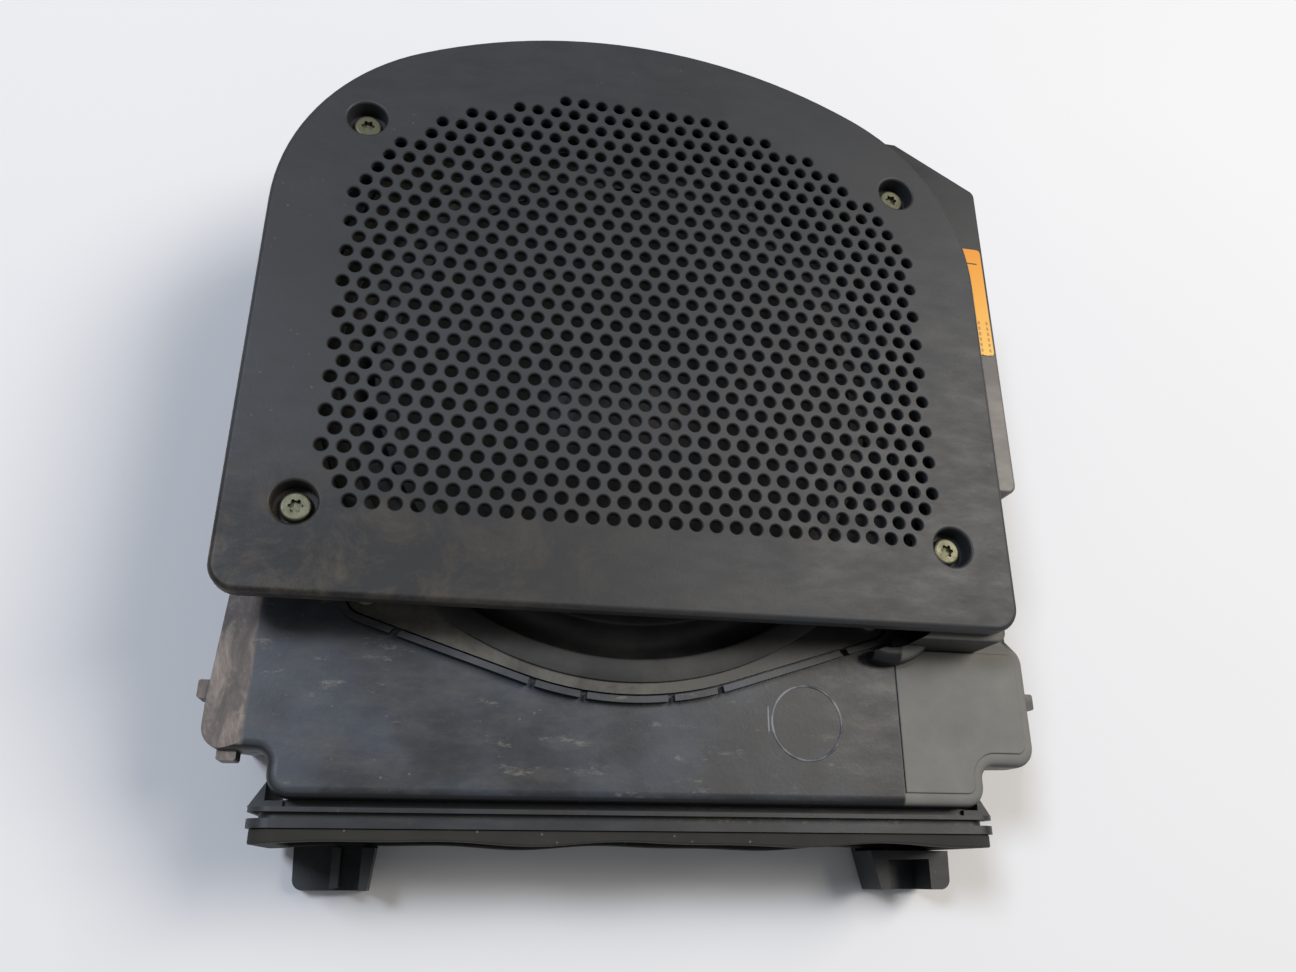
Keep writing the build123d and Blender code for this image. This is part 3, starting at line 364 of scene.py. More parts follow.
def frame_plastic():
    """Black glass-filled nylon: dull, with brown crumbs caught in the groove."""
    material, shader, place, colour = worn_plastic(
        "glass_filled_nylon", "#1e2022", "#2b2e33", "#6d685d", 0.9, 0.45, 0.12, 0.4)[:4]
    xyz = add(material, "ShaderNodeSeparateXYZ", {"Vector": place})
    x, y = xyz.outputs["X"], xyz.outputs["Y"]
    low_y, high_y = -0.1459, -0.1440
    groove_front = add(material, "ShaderNodeMath", {0: y, 1: low_y}, operation="GREATER_THAN")
    groove_rear = add(material, "ShaderNodeMath", {0: y, 1: high_y}, operation="LESS_THAN")
    in_groove = add(material, "ShaderNodeMath", {
        0: groove_front.outputs["Value"], 1: groove_rear.outputs["Value"]}, operation="MULTIPLY")
    to_right = add(material, "ShaderNodeMapRange", {
        "Value": x, "From Min": 0.0, "From Max": 0.05, "To Min": 0.15, "To Max": 1.0})
    crumb_cells = add(material, "ShaderNodeTexNoise", {
        "Vector": place, "Scale": per_mm(2.6), "Detail": 6, "Roughness": 0.8})
    crumbs = add(material, "ShaderNodeMapRange", {
        "Value": crumb_cells.outputs["Fac"], "From Min": 0.54, "From Max": 0.62})
    groove_right = add(material, "ShaderNodeMath", {
        0: in_groove.outputs["Value"], 1: to_right.outputs["Result"]}, operation="MULTIPLY")
    crumb_share = add(material, "ShaderNodeMath", {
        0: groove_right.outputs["Value"], 1: crumbs.outputs["Result"]}, operation="MULTIPLY")
    soiled = add(material, "ShaderNodeMix", {
        "Factor": crumb_share.outputs["Value"], 6: colour, 7: linear("#5d5236")}, data_type="RGBA")
    fill(material, shader, {"Base Color": soiled.outputs[2]})
    return material


dress(nodes["mouth_frame"], frame_plastic())


# ---- Mouth seal ----
# A ring of soft black foam rubber, glued on the frame's front; it closes on the car body.
# It was pressed for years, so its front face waves in and out a little between the feet.

seal_cuts = 56
seal_wave = 0.00055
seal_low, seal_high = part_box("mouth_seal")


def copy_of(node, name, whole_faces=True):
    """A copy of a CAD node with its loose triangles joined and, if asked, its flat faces whole again."""
    piece = bpy.data.objects.new(name, nodes[node].data.copy())
    bpy.context.scene.collection.objects.link(piece)
    bpy.ops.object.select_all(action="DESELECT")
    piece.select_set(True)
    bpy.context.view_layer.objects.active = piece
    bpy.ops.object.mode_set(mode="EDIT")
    bpy.ops.mesh.select_all(action="SELECT")
    bpy.ops.mesh.remove_doubles(threshold=1e-6)
    if whole_faces:
        bpy.ops.mesh.dissolve_limited(angle_limit=math.radians(1))
    bpy.ops.object.mode_set(mode="OBJECT")
    return piece


def cut_across(low_x, high_x, cuts):
    """Cuts the active piece into this many even lengths along X."""
    bpy.ops.object.mode_set(mode="EDIT")
    for index in range(1, cuts):
        bpy.ops.mesh.select_all(action="SELECT")
        cut_x = low_x + (high_x - low_x) * index / cuts
        bpy.ops.mesh.bisect(plane_co=(cut_x, 0, 0), plane_no=(1, 0, 0))
    bpy.ops.object.mode_set(mode="OBJECT")


seal = copy_of("mouth_seal", "mouth_seal_foam")
cut_across(seal_low.x, seal_high.x, seal_cuts)
finish_with(seal, "BEVEL", width=0.0009, segments=3, angle_limit=math.radians(50))
for point in seal.data.vertices:
    forward = (seal_high.y - point.co.y) / (seal_high.y - seal_low.y)
    swing = math.sin(point.co.x / 0.0125 + 0.8) + 0.6 * math.sin(point.co.x / 0.0071 + 2.1)
    point.co.y += forward * seal_wave * (swing + 0.6)


def foam_rubber():
    """Closed-cell foam rubber: dull black with fine pores, a few pale crumbs and scratches."""
    material, shader, place = new_material("epdm_foam_rubber")
    pores = add(material, "ShaderNodeTexVoronoi", {"Vector": place, "Scale": per_mm(0.9)})
    patch = add(material, "ShaderNodeTexNoise", {"Vector": place, "Scale": per_mm(14), "Detail": 6})
    tone = add(material, "ShaderNodeMix", {
        "Factor": patch.outputs["Fac"], 6: linear("#1c1c1a"), 7: linear("#35332e")}, data_type="RGBA")
    dots = add(material, "ShaderNodeTexVoronoi", {"Vector": place, "Scale": per_mm(5)})
    crumb = add(material, "ShaderNodeMapRange", {
        "Value": dots.outputs["Distance"], "From Min": 0.09, "From Max": 0.05, "To Max": 0.4})
    colour = add(material, "ShaderNodeMix", {
        "Factor": crumb.outputs["Result"], 6: tone.outputs[2], 7: linear("#8f8672")}, data_type="RGBA")
    bump = add(material, "ShaderNodeBump", {
        "Height": pores.outputs["Distance"], "Strength": 0.5, "Distance": 0.0001})
    fill(material, shader, {
        "Base Color": colour.outputs[2], "Normal": bump.outputs["Normal"], "Roughness": 0.85, "IOR": 1.5})
    return material


dress(seal, foam_rubber())
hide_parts("mouth_seal")
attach(seal, "housing")


# ---- Woofer gasket and basket ----
# The gasket is die-cut black foam. The basket is deep-drawn sheet steel with a baked black
# paint; its flange shows in front of the cover and is grey-brown with settled dust.

def painted_steel():
    """Black paint on pressed steel: smooth satin with orange peel, dulled by settled dust, with painted shade
    darkening it towards the right.
    """
    material, shader, place = new_material("black_painted_steel")
    geometry = add(material, "ShaderNodeNewGeometry")
    facing = add(material, "ShaderNodeSeparateXYZ", {"Vector": geometry.outputs["Normal"]})
    upward = add(material, "ShaderNodeMapRange", {
        "Value": facing.outputs["Z"], "From Min": 0.6, "From Max": 0.95})
    settled_and_shaded = add(material, "ShaderNodeTexNoise", {
        "Vector": place, "Scale": per_mm(11), "Detail": 8, "Roughness": 0.72})
    dust = add(material, "ShaderNodeMapRange", {
        "Value": settled_and_shaded.outputs["Fac"], "From Min": 0.35, "From Max": 0.72, "To Min": 0.15, "To Max": 0.62})
    xyz = add(material, "ShaderNodeSeparateXYZ", {"Vector": place})
    # The dust is thinned towards the right, so the flange is painted darker there as painted shade.
    wiped_and_shaded = add(material, "ShaderNodeMapRange", {
        "Value": xyz.outputs["X"], "From Min": 0.0, "From Max": 0.04, "To Min": 1.0, "To Max": 0.2})
    lying_and_lit = add(material, "ShaderNodeMath", {
        0: upward.outputs["Result"], 1: dust.outputs["Result"]}, operation="MULTIPLY")
    share = add(material, "ShaderNodeMath", {
        0: lying_and_lit.outputs["Value"], 1: wiped_and_shaded.outputs["Result"]}, operation="MULTIPLY")
    colour = add(material, "ShaderNodeMix", {
        "Factor": share.outputs["Value"], 6: linear("#1b1b1b"), 7: linear("#7c786d")}, data_type="RGBA")
    rough = add(material, "ShaderNodeMapRange", {
        "Value": share.outputs["Value"], "To Min": 0.36, "To Max": 0.8})
    peel = add(material, "ShaderNodeTexNoise", {"Vector": place, "Scale": per_mm(1.6), "Detail": 1})
    bump = add(material, "ShaderNodeBump", {
        "Height": peel.outputs["Fac"], "Strength": 0.15, "Distance": 0.0001})
    fill(material, shader, {
        "Base Color": colour.outputs[2], "Roughness": rough.outputs["Result"],
        "Normal": bump.outputs["Normal"], "IOR": 1.5})
    return material


dress(nodes["woofer_basket"], painted_steel())


def gasket_foam():
    """Die-cut foam: very dull, slightly open-pored black."""
    material, shader, place = new_material("die_cut_foam")
    pores = add(material, "ShaderNodeTexNoise", {"Vector": place, "Scale": per_mm(0.8), "Detail": 4})
    colour = add(material, "ShaderNodeMix", {
        "Factor": pores.outputs["Fac"], 6: linear("#141414"), 7: linear("#2b2a27")}, data_type="RGBA")
    bump = add(material, "ShaderNodeBump", {
        "Height": pores.outputs["Fac"], "Strength": 0.6, "Distance": 0.0002})
    fill(material, shader, {
        "Base Color": colour.outputs[2], "Normal": bump.outputs["Normal"], "Roughness": 0.9})
    return material


dress(nodes["woofer_gasket"], gasket_foam())


# ---- Surround ----
# The cone's edge, moulded in soft black rubber: a glued rim, one roll that hangs between the
# basket and the cone, and a glued lip. It stretches as the cone travels.

surround_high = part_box("surround")[1]
cone_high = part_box("cone")[1]
rubber_t = 0.0009
rim_outer_r = surround_high.x
cone_edge_r = cone_high.x
lip_inner_r = cone_edge_r - 0.005
roll_inner_r = cone_edge_r + 0.0005
roll_outer_r = rim_outer_r - 0.007
rubber_mid_z = surround_high.z - rubber_t / 2
roll_steps = 16
ring_steps = 144


def turned_sheet(name, profile):
    """A ring drawn from the inside out: a circle extruded and widened step by step."""
    bpy.ops.object.select_all(action="DESELECT")
    bpy.ops.mesh.primitive_circle_add(
        vertices=ring_steps, radius=profile[0][0], location=(0, 0, profile[0][1]), fill_type="NOTHING")
    piece = bpy.context.object
    piece.name = name
    at_origin(piece)
    bpy.ops.object.mode_set(mode="EDIT")
    for (r, z), (next_r, next_z) in zip(profile, profile[1:]):
        bpy.ops.mesh.extrude_region_move(TRANSFORM_OT_translate={"value": (0, 0, next_z - z)})
        bpy.ops.transform.resize(value=(next_r / r, next_r / r, 1), center_override=(0, 0, 0))
    bpy.ops.mesh.select_all(action="SELECT")
    bpy.ops.mesh.normals_make_consistent(inside=False)
    bpy.ops.object.mode_set(mode="OBJECT")
    return piece


def follow_cone(piece, inner_r, outer_r, height):
    """The inner edge follows the cone and the outer edge stays with the basket, all the way round."""
    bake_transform(piece, "housing", "cone_body", (outer_r, 0, height), (inner_r, 0, height))
    shares = piece.data.attributes["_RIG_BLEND"].data
    for point, share in zip(piece.data.vertices, shares):
        out = (math.hypot(point.co.x, point.co.y) - inner_r) / (outer_r - inner_r)
        out = min(max(out, 0.0), 1.0)
        share.value = 1 - out * out * (3 - 2 * out)


roll_mid_r = (roll_inner_r + roll_outer_r) / 2
roll_half = (roll_outer_r - roll_inner_r) / 2
surround_profile = [(lip_inner_r, rubber_mid_z), (roll_inner_r - 0.0006, rubber_mid_z)]
for step in range(roll_steps + 1):
    turn = math.pi * step / roll_steps
    surround_profile.append((
        roll_mid_r - roll_half * math.cos(turn), rubber_mid_z - roll_half * math.sin(turn)))
surround_profile += [(roll_outer_r + 0.0006, rubber_mid_z), (rim_outer_r, rubber_mid_z)]
surround = turned_sheet("rubber_surround", surround_profile)
finish_with(surround, "SOLIDIFY", thickness=rubber_t, offset=0)
finish_with(surround, "BEVEL", width=0.00025, segments=2, angle_limit=math.radians(50))
bpy.ops.object.shade_smooth_by_angle(angle=math.radians(50))


def edge_rubber():
    """Butyl rubber: black, dull with bloom."""
    material, shader, place = new_material("butyl_rubber")
    bloom = add(material, "ShaderNodeTexNoise", {
        "Vector": place, "Scale": per_mm(22), "Detail": 7, "Roughness": 0.65})
    colour = add(material, "ShaderNodeValToRGB", {"Fac": bloom.outputs["Fac"]})
    ramp = colour.color_ramp.elements
    ramp[0].position, ramp[0].color = 0.35, linear("#1a1a1a")
    ramp[1].position, ramp[1].color = 0.75, linear("#3d3c39")
    skin = add(material, "ShaderNodeTexNoise", {"Vector": place, "Scale": per_mm(1.2), "Detail": 3})
    bump = add(material, "ShaderNodeBump", {
        "Height": skin.outputs["Fac"], "Strength": 0.25, "Distance": 0.0001})
    fill(material, shader, {
        "Base Color": colour.outputs["Color"], "Normal": bump.outputs["Normal"], "Roughness": 0.55,
        "IOR": 1.52})
    return material


dress(surround, edge_rubber())
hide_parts("surround")
follow_cone(surround, cone_edge_r, roll_outer_r, rubber_mid_z)


# ---- Cone and dust cap ----
# The cone is pressed paper pulp, dyed black, with faint rings from its felting mould.
# The dust cap is a thin moulded dome glued over the voice coil.

def pulp_paper():
    """Dyed paper pulp: matt, fibrous, with shallow rings about the middle."""
    material, shader, place = new_material("dyed_paper_pulp")
    xyz = add(material, "ShaderNodeSeparateXYZ", {"Vector": place})
    flat = add(material, "ShaderNodeCombineXYZ", {"X": xyz.outputs["X"], "Y": xyz.outputs["Y"]})
    radius = add(material, "ShaderNodeVectorMath", {0: flat.outputs["Vector"]}, operation="LENGTH")
    phase = add(material, "ShaderNodeMath", {
        0: radius.outputs["Value"], 1: 2 * math.pi * per_mm(4)}, operation="MULTIPLY")
    rings = add(material, "ShaderNodeMath", {0: phase.outputs["Value"]}, operation="SINE")
    fibre = add(material, "ShaderNodeTexNoise", {
        "Vector": place, "Scale": per_mm(1.4), "Detail": 8, "Roughness": 0.75})
    colour = add(material, "ShaderNodeMix", {
        "Factor": fibre.outputs["Fac"], 6: linear("#131312"), 7: linear("#2d2c29")}, data_type="RGBA")
    height = add(material, "ShaderNodeMath", {
        0: rings.outputs["Value"], 1: 0.5, 2: fibre.outputs["Fac"]}, operation="MULTIPLY_ADD")
    bump = add(material, "ShaderNodeBump", {
        "Height": height.outputs["Value"], "Strength": 0.5, "Distance": 0.0002})
    fill(material, shader, {
        "Base Color": colour.outputs[2], "Normal": bump.outputs["Normal"], "Roughness": 0.82})
    return material


def cap_plastic():
    """Thin moulded polypropylene: satin black with a light film of dust."""
    material, shader, place = new_material("moulded_cap_plastic")
    film = add(material, "ShaderNodeTexNoise", {"Vector": place, "Scale": per_mm(9), "Detail": 6})
    colour = add(material, "ShaderNodeMix", {
        "Factor": film.outputs["Fac"], 6: linear("#191919"), 7: linear("#363532")}, data_type="RGBA")
    rough = add(material, "ShaderNodeMapRange", {
        "Value": film.outputs["Fac"], "From Min": 0.3, "From Max": 0.7, "To Min": 0.38, "To Max": 0.6})
    fill(material, shader, {"Base Color": colour.outputs[2], "Roughness": rough.outputs["Result"]})
    return material


dress(nodes["cone"], pulp_paper())
dress(nodes["dust_cap"], cap_plastic())


# ---- Spider ----
# A disc of resin-dipped woven cotton, pressed into waves, that keeps the coil centred.
# Its outer edge is glued to the basket's shelf and its inner edge to the former.

spider_low, spider_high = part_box("spider")
former_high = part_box("voice_coil_former")[1]
cloth_t = 0.0006
wave_count = 5
wave_rise = (spider_high.z - spider_low.z - cloth_t) / 2
cloth_mid_z = spider_low.z + cloth_t / 2
spider_inner_r = former_high.x + 0.00015
wave_from_r, wave_to_r = spider_inner_r + 0.003, 0.040
spider_profile = [(spider_inner_r, cloth_mid_z)]
for step in range(wave_count * 8 + 1):
    share = step / (wave_count * 8)
    lift = 1 - math.cos(2 * math.pi * wave_count * share)
    spider_profile.append((
        wave_from_r + (wave_to_r - wave_from_r) * share, cloth_mid_z + wave_rise * lift))
spider_profile.append((spider_high.x, cloth_mid_z))
spider = turned_sheet("woven_spider", spider_profile)
finish_with(spider, "SOLIDIFY", thickness=cloth_t, offset=0)
bpy.ops.object.shade_smooth_by_angle(angle=math.radians(50))


def dipped_cotton():
    """Phenolic-dipped cotton: amber brown with an open plain weave."""
    material, shader, place = new_material("phenolic_dipped_cotton")
    # Real threads are 0.5 mm apart.
    warp = add(material, "ShaderNodeTexWave", {
        "Vector": place, "Scale": per_mm(0.5) / 10, "Distortion": 0.6}, bands_direction="X")
    weft = add(material, "ShaderNodeTexWave", {
        "Vector": place, "Scale": per_mm(0.5) / 10, "Distortion": 0.6}, bands_direction="Y")
    threads = add(material, "ShaderNodeMath", {
        0: warp.outputs["Fac"], 1: weft.outputs["Fac"]}, operation="MAXIMUM")
    colour = add(material, "ShaderNodeMix", {
        "Factor": threads.outputs["Value"], 6: linear("#54381c"), 7: linear("#a87a41")}, data_type="RGBA")
    bump = add(material, "ShaderNodeBump", {
        "Height": threads.outputs["Value"], "Strength": 0.6, "Distance": 0.0001})
    fill(material, shader, {
        "Base Color": colour.outputs[2], "Normal": bump.outputs["Normal"], "Roughness": 0.6})
    return material


dress(spider, dipped_cotton())
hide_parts("spider")
follow_cone(spider, spider_inner_r, wave_to_r, cloth_mid_z)


# ---- Voice coil and its former ----
# Enamelled copper wire wound on a tube of amber polyimide film.

def polyimide_film():
    """Polyimide film: clear amber brown, glossy, with fine winding lines."""
    material, shader, place = new_material("polyimide_film")
    xyz = add(material, "ShaderNodeSeparateXYZ", {"Vector": place})
    cloud = add(material, "ShaderNodeTexNoise", {"Vector": place, "Scale": per_mm(6), "Detail": 3})
    colour = add(material, "ShaderNodeMix", {
        "Factor": cloud.outputs["Fac"], 6: linear("#8a4a12"), 7: linear("#b8701f")}, data_type="RGBA")
    lines = add(material, "ShaderNodeMath", {
        0: xyz.outputs["Z"], 1: 2 * math.pi * per_mm(0.8)}, operation="MULTIPLY")
    wave = add(material, "ShaderNodeMath", {0: lines.outputs["Value"]}, operation="SINE")
    bump = add(material, "ShaderNodeBump", {
        "Height": wave.outputs["Value"], "Strength": 0.15, "Distance": 0.00005})
    fill(material, shader, {
        "Base Color": colour.outputs[2], "Normal": bump.outputs["Normal"], "Roughness": 0.25, "IOR": 1.7})
    return material


def enamelled_copper():
    """Lacquered copper wire: warm red metal, turn laid beside turn."""
    material, shader, place = new_material("enamelled_copper")
    xyz = add(material, "ShaderNodeSeparateXYZ", {"Vector": place})
    # The wire is 0.2 mm thick; its turns are drawn 0.4 mm apart so that they show.
    turns = add(material, "ShaderNodeMath", {
        0: xyz.outputs["Z"], 1: 2 * math.pi * per_mm(0.4)}, operation="MULTIPLY")
    wave = add(material, "ShaderNodeMath", {0: turns.outputs["Value"]}, operation="SINE")
    tone = add(material, "ShaderNodeMapRange", {"Value": wave.outputs["Value"], "From Min": -1.0})
    colour = add(material, "ShaderNodeMix", {
        "Factor": tone.outputs["Result"], 6: linear("#7a3418"), 7: linear("#c4683a")}, data_type="RGBA")
    bump = add(material, "ShaderNodeBump", {
        "Height": wave.outputs["Value"], "Strength": 0.6, "Distance": 0.0001})
    fill(material, shader, {
        "Base Color": colour.outputs[2], "Normal": bump.outputs["Normal"], "Metallic": 1.0,
        "Roughness": 0.3})
    return material


dress(nodes["voice_coil_former"], polyimide_film())
dress(nodes["voice_coil"], enamelled_copper())


# ---- Magnet: top plate, ferrite ring, back plate with its pole ----
# Two zinc-plated steel plates glued to a pressed and sintered ferrite ring.

def plated_steel(name, bright, dull, rough_low, rough_high):
    """Electroplated steel: thin bright metal with a cloudy passivated skin and fine turning marks."""
    material, shader, place = new_material(name)
    cloud = add(material, "ShaderNodeTexNoise", {
        "Vector": place, "Scale": per_mm(5), "Detail": 7, "Roughness": 0.7})
    colour = add(material, "ShaderNodeMix", {
        "Factor": cloud.outputs["Fac"], 6: linear(dull), 7: linear(bright)}, data_type="RGBA")
    rough = add(material, "ShaderNodeMapRange", {
        "Value": cloud.outputs["Fac"], "From Min": 0.3, "From Max": 0.7,
        "To Min": rough_high, "To Max": rough_low})
    fine = add(material, "ShaderNodeTexNoise", {"Vector": place, "Scale": per_mm(0.6), "Detail": 2})
    bump = add(material, "ShaderNodeBump", {
        "Height": fine.outputs["Fac"], "Strength": 0.2, "Distance": 0.00008})
    fill(material, shader, {
        "Base Color": colour.outputs[2], "Roughness": rough.outputs["Result"],
        "Normal": bump.outputs["Normal"], "Metallic": 1.0})
    return material


def ferrite():
    """Sintered ferrite: dense charcoal ceramic with small pits and ground faces."""
    material, shader, place = new_material("sintered_ferrite")
    pits = add(material, "ShaderNodeTexVoronoi", {"Vector": place, "Scale": per_mm(2.2)})
    pit = add(material, "ShaderNodeMapRange", {
        "Value": pits.outputs["Distance"], "From Min": 0.05, "From Max": 0.2})
    cloud = add(material, "ShaderNodeTexNoise", {"Vector": place, "Scale": per_mm(8), "Detail": 6})
    colour = add(material, "ShaderNodeMix", {
        "Factor": cloud.outputs["Fac"], 6: linear("#2a2a2b"), 7: linear("#474748")}, data_type="RGBA")
    bump = add(material, "ShaderNodeBump", {
        "Height": pit.outputs["Result"], "Strength": 0.4, "Distance": 0.0002})
    fill(material, shader, {
        "Base Color": colour.outputs[2], "Normal": bump.outputs["Normal"], "Roughness": 0.6})
    return material


zinc = plated_steel("zinc_plated_steel", "#b9bcc0", "#8c9095", 0.3, 0.45)
dress(nodes["top_plate"], zinc)
dress(nodes["back_plate"], zinc)
dress(nodes["magnet_ring"], ferrite())


# ---- Terminal strip, tabs and tinsel leads ----
# A punched strip of paper laminate under the basket carries two tinned brass tabs.
# Two limp copper braids run from it to the cone and flex with it.

def paper_laminate():
    """Phenolic paper laminate: glossy chestnut with faint layers."""
    material, shader, place = new_material("phenolic_paper_laminate")
    layers_at = add(material, "ShaderNodeMapping", {"Vector": place, "Scale": (6, 1, 1)})
    layers = add(material, "ShaderNodeTexNoise", {
        "Vector": layers_at.outputs["Vector"], "Scale": per_mm(3), "Detail": 6})
    colour = add(material, "ShaderNodeMix", {
        "Factor": layers.outputs["Fac"], 6: linear("#5a2f16"), 7: linear("#8b5428")}, data_type="RGBA")
    fill(material, shader, {"Base Color": colour.outputs[2], "Roughness": 0.35, "IOR": 1.55})
    return material


tinned = plated_steel("tinned_brass", "#cfc7ab", "#a79c77", 0.28, 0.42)
dress(nodes["terminal_strip"], paper_laminate())
dress(nodes["terminal_tabs"], tinned)


def copper_braid():
    """Braided copper tinsel: dull metal strands crossing in two directions."""
    material, shader, place = new_material("copper_tinsel_braid")
    heights = []
    for lean in (35, -35):
        turned = add(material, "ShaderNodeMapping", {
            "Vector": place, "Rotation": (0, math.radians(lean), math.radians(lean))})
        strand = add(material, "ShaderNodeTexWave", {
            "Vector": turned.outputs["Vector"], "Scale": per_mm(0.45) / 10}, bands_direction="X")
        heights.append(strand.outputs["Fac"])
    braid = add(material, "ShaderNodeMath", {0: heights[0], 1: heights[1]}, operation="MAXIMUM")
    colour = add(material, "ShaderNodeMix", {
        "Factor": braid.outputs["Value"], 6: linear("#5f3a22"), 7: linear("#c08a5c")}, data_type="RGBA")
    bump = add(material, "ShaderNodeBump", {
        "Height": braid.outputs["Value"], "Strength": 0.8, "Distance": 0.0001})
    fill(material, shader, {
        "Base Color": colour.outputs[2], "Normal": bump.outputs["Normal"], "Metallic": 1.0,
        "Roughness": 0.42})
    return material


lead_low, lead_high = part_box("tinsel_leads")
lead_cuts = 24
leads = copy_of("tinsel_leads", "braided_leads", whole_faces=False)
cut_across(lead_low.x, lead_high.x, lead_cuts)
bpy.ops.object.shade_smooth_by_angle(angle=math.radians(40))
dress(leads, copper_braid())
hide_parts("tinsel_leads")
lead_fixed_x = lead_high.x - 0.003
lead_moving_x = lead_low.x + 0.002
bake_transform(leads, "housing", "cone_body", (lead_fixed_x, 0, lead_low.z), (lead_moving_x, 0, lead_low.z))


# ---- Plug socket, its pins and the wires inside ----
# The socket is moulded in black PBT and snaps into the right wall; two tinned pins cross its
# floor, and two PVC wires run from them to the woofer's tabs.

def socket_plastic():
    """PBT: hard, fairly glossy black with a fine spark-eroded grain."""
    material, shader, place = new_material("moulded_pbt")
    grain = add(material, "ShaderNodeTexNoise", {"Vector": place, "Scale": per_mm(0.8), "Detail": 3})
    cloud = add(material, "ShaderNodeTexNoise", {"Vector": place, "Scale": per_mm(7), "Detail": 5})
    colour = add(material, "ShaderNodeMix", {
        "Factor": cloud.outputs["Fac"], 6: linear("#141516"), 7: linear("#2a2b2c")}, data_type="RGBA")
    bump = add(material, "ShaderNodeBump", {
        "Height": grain.outputs["Fac"], "Strength": 0.2, "Distance": 0.00008})
    fill(material, shader, {
        "Base Color": colour.outputs[2], "Normal": bump.outputs["Normal"], "Roughness": 0.38,
        "IOR": 1.55})
    return material


def wire_sleeve():
    """Soft PVC: smooth black sleeve with a slight waxy sheen."""
    material, shader, place = new_material("pvc_wire_sleeve")
    cloud = add(material, "ShaderNodeTexNoise", {"Vector": place, "Scale": per_mm(5), "Detail": 4})
    colour = add(material, "ShaderNodeMix", {
        "Factor": cloud.outputs["Fac"], 6: linear("#191919"), 7: linear("#2e2d2c")}, data_type="RGBA")
    rough = add(material, "ShaderNodeMapRange", {
        "Value": cloud.outputs["Fac"], "To Min": 0.35, "To Max": 0.6})
    fill(material, shader, {"Base Color": colour.outputs[2], "Roughness": rough.outputs["Result"]})
    return material


dress(nodes["plug_socket"], socket_plastic())
dress(nodes["socket_pins"], tinned)
dress(nodes["inner_wires"], wire_sleeve())


# ---- Perforated cover ----
# One injection moulding of charcoal ABS with an etched matt grain, screwed down over the
# woofer. Shoes and luggage left brown and pale scuffs, mostly along its front.

def cover_plastic():
    """Charcoal ABS: matt grey, painted darker towards the front left as painted shade, brown smudges and pale
    scratches near the front edge.
    """
    material, shader, place, colour = worn_plastic(
        "etched_charcoal_abs", "#2c2e31", "#303235", "#77746b", 0.8, 0.5, 0.02, 0.3)[:4]
    xyz = add(material, "ShaderNodeSeparateXYZ", {"Vector": place})
    x, y = xyz.outputs["X"], xyz.outputs["Y"]
    front = add(material, "ShaderNodeMapRange", {
        "Value": y, "From Min": -0.035, "From Max": -0.075}, interpolation_type="SMOOTHSTEP")
    left = add(material, "ShaderNodeMapRange", {
        "Value": x, "From Min": 0.02, "From Max": -0.09, "To Min": 0.2, "To Max": 1.0})
    front_left_wear_and_shade = add(material, "ShaderNodeMath", {
        0: front.outputs["Result"], 1: left.outputs["Result"]}, operation="MULTIPLY")
    # The front left is painted near black as painted shade.
    front_left_shade_share = add(material, "ShaderNodeMath", {0: front_left_wear_and_shade.outputs["Value"], 1: 0.95}, operation="MULTIPLY")
    front_left_shaded = add(material, "ShaderNodeMix", {
        "Factor": front_left_shade_share.outputs["Value"], 6: colour, 7: linear("#131211")}, data_type="RGBA")
    smudge = add(material, "ShaderNodeTexNoise", {
        "Vector": place, "Scale": per_mm(20), "Detail": 8, "Roughness": 0.78, "Distortion": 0.4})
    smudge_edge = add(material, "ShaderNodeMapRange", {
        "Value": smudge.outputs["Fac"], "From Min": 0.46, "From Max": 0.64, "To Max": 0.5})
    brown = add(material, "ShaderNodeMath", {
        0: front_left_wear_and_shade.outputs["Value"], 1: smudge_edge.outputs["Result"]}, operation="MULTIPLY")
    browned = add(material, "ShaderNodeMix", {
        "Factor": brown.outputs["Value"], 6: front_left_shaded.outputs[2], 7: linear("#564c3b")}, data_type="RGBA")
    scratch_at = add(material, "ShaderNodeMapping", {
        "Vector": place, "Rotation": (0, 0, math.radians(-40)), "Scale": (1, 4.5, 1)})
    scratch = add(material, "ShaderNodeTexNoise", {
        "Vector": scratch_at.outputs["Vector"], "Scale": per_mm(5), "Detail": 8, "Roughness": 0.85})
    scratch_edge = add(material, "ShaderNodeMapRange", {
        "Value": scratch.outputs["Fac"], "From Min": 0.66, "From Max": 0.76, "To Max": 0.55})
    pale = add(material, "ShaderNodeMath", {
        0: front.outputs["Result"], 1: scratch_edge.outputs["Result"]}, operation="MULTIPLY")
    scratched = add(material, "ShaderNodeMix", {
        "Factor": pale.outputs["Value"], 6: browned.outputs[2], 7: linear("#8b867a")}, data_type="RGBA")
    fill(material, shader, {"Base Color": scratched.outputs[2]})
    return material


dress(nodes["grille_cover"], cover_plastic())


# ---- Screws of the cover and of the woofer ----
# Pan-head steel screws with a six-lobed socket, zinc plated and olive passivated; the heads
# have gone dull and grubby round their edges.

olive_zinc = plated_steel("olive_passivated_zinc", "#8b8a76", "#4b4a38", 0.45, 0.68)
dress(nodes["grille_screws"], olive_zinc)
dress(nodes["woofer_screws"], olive_zinc)


# ---- Label ----
# A small amber vinyl sticker on the raised right side, printed with plain dark lines.

label_low, label_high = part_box("label")


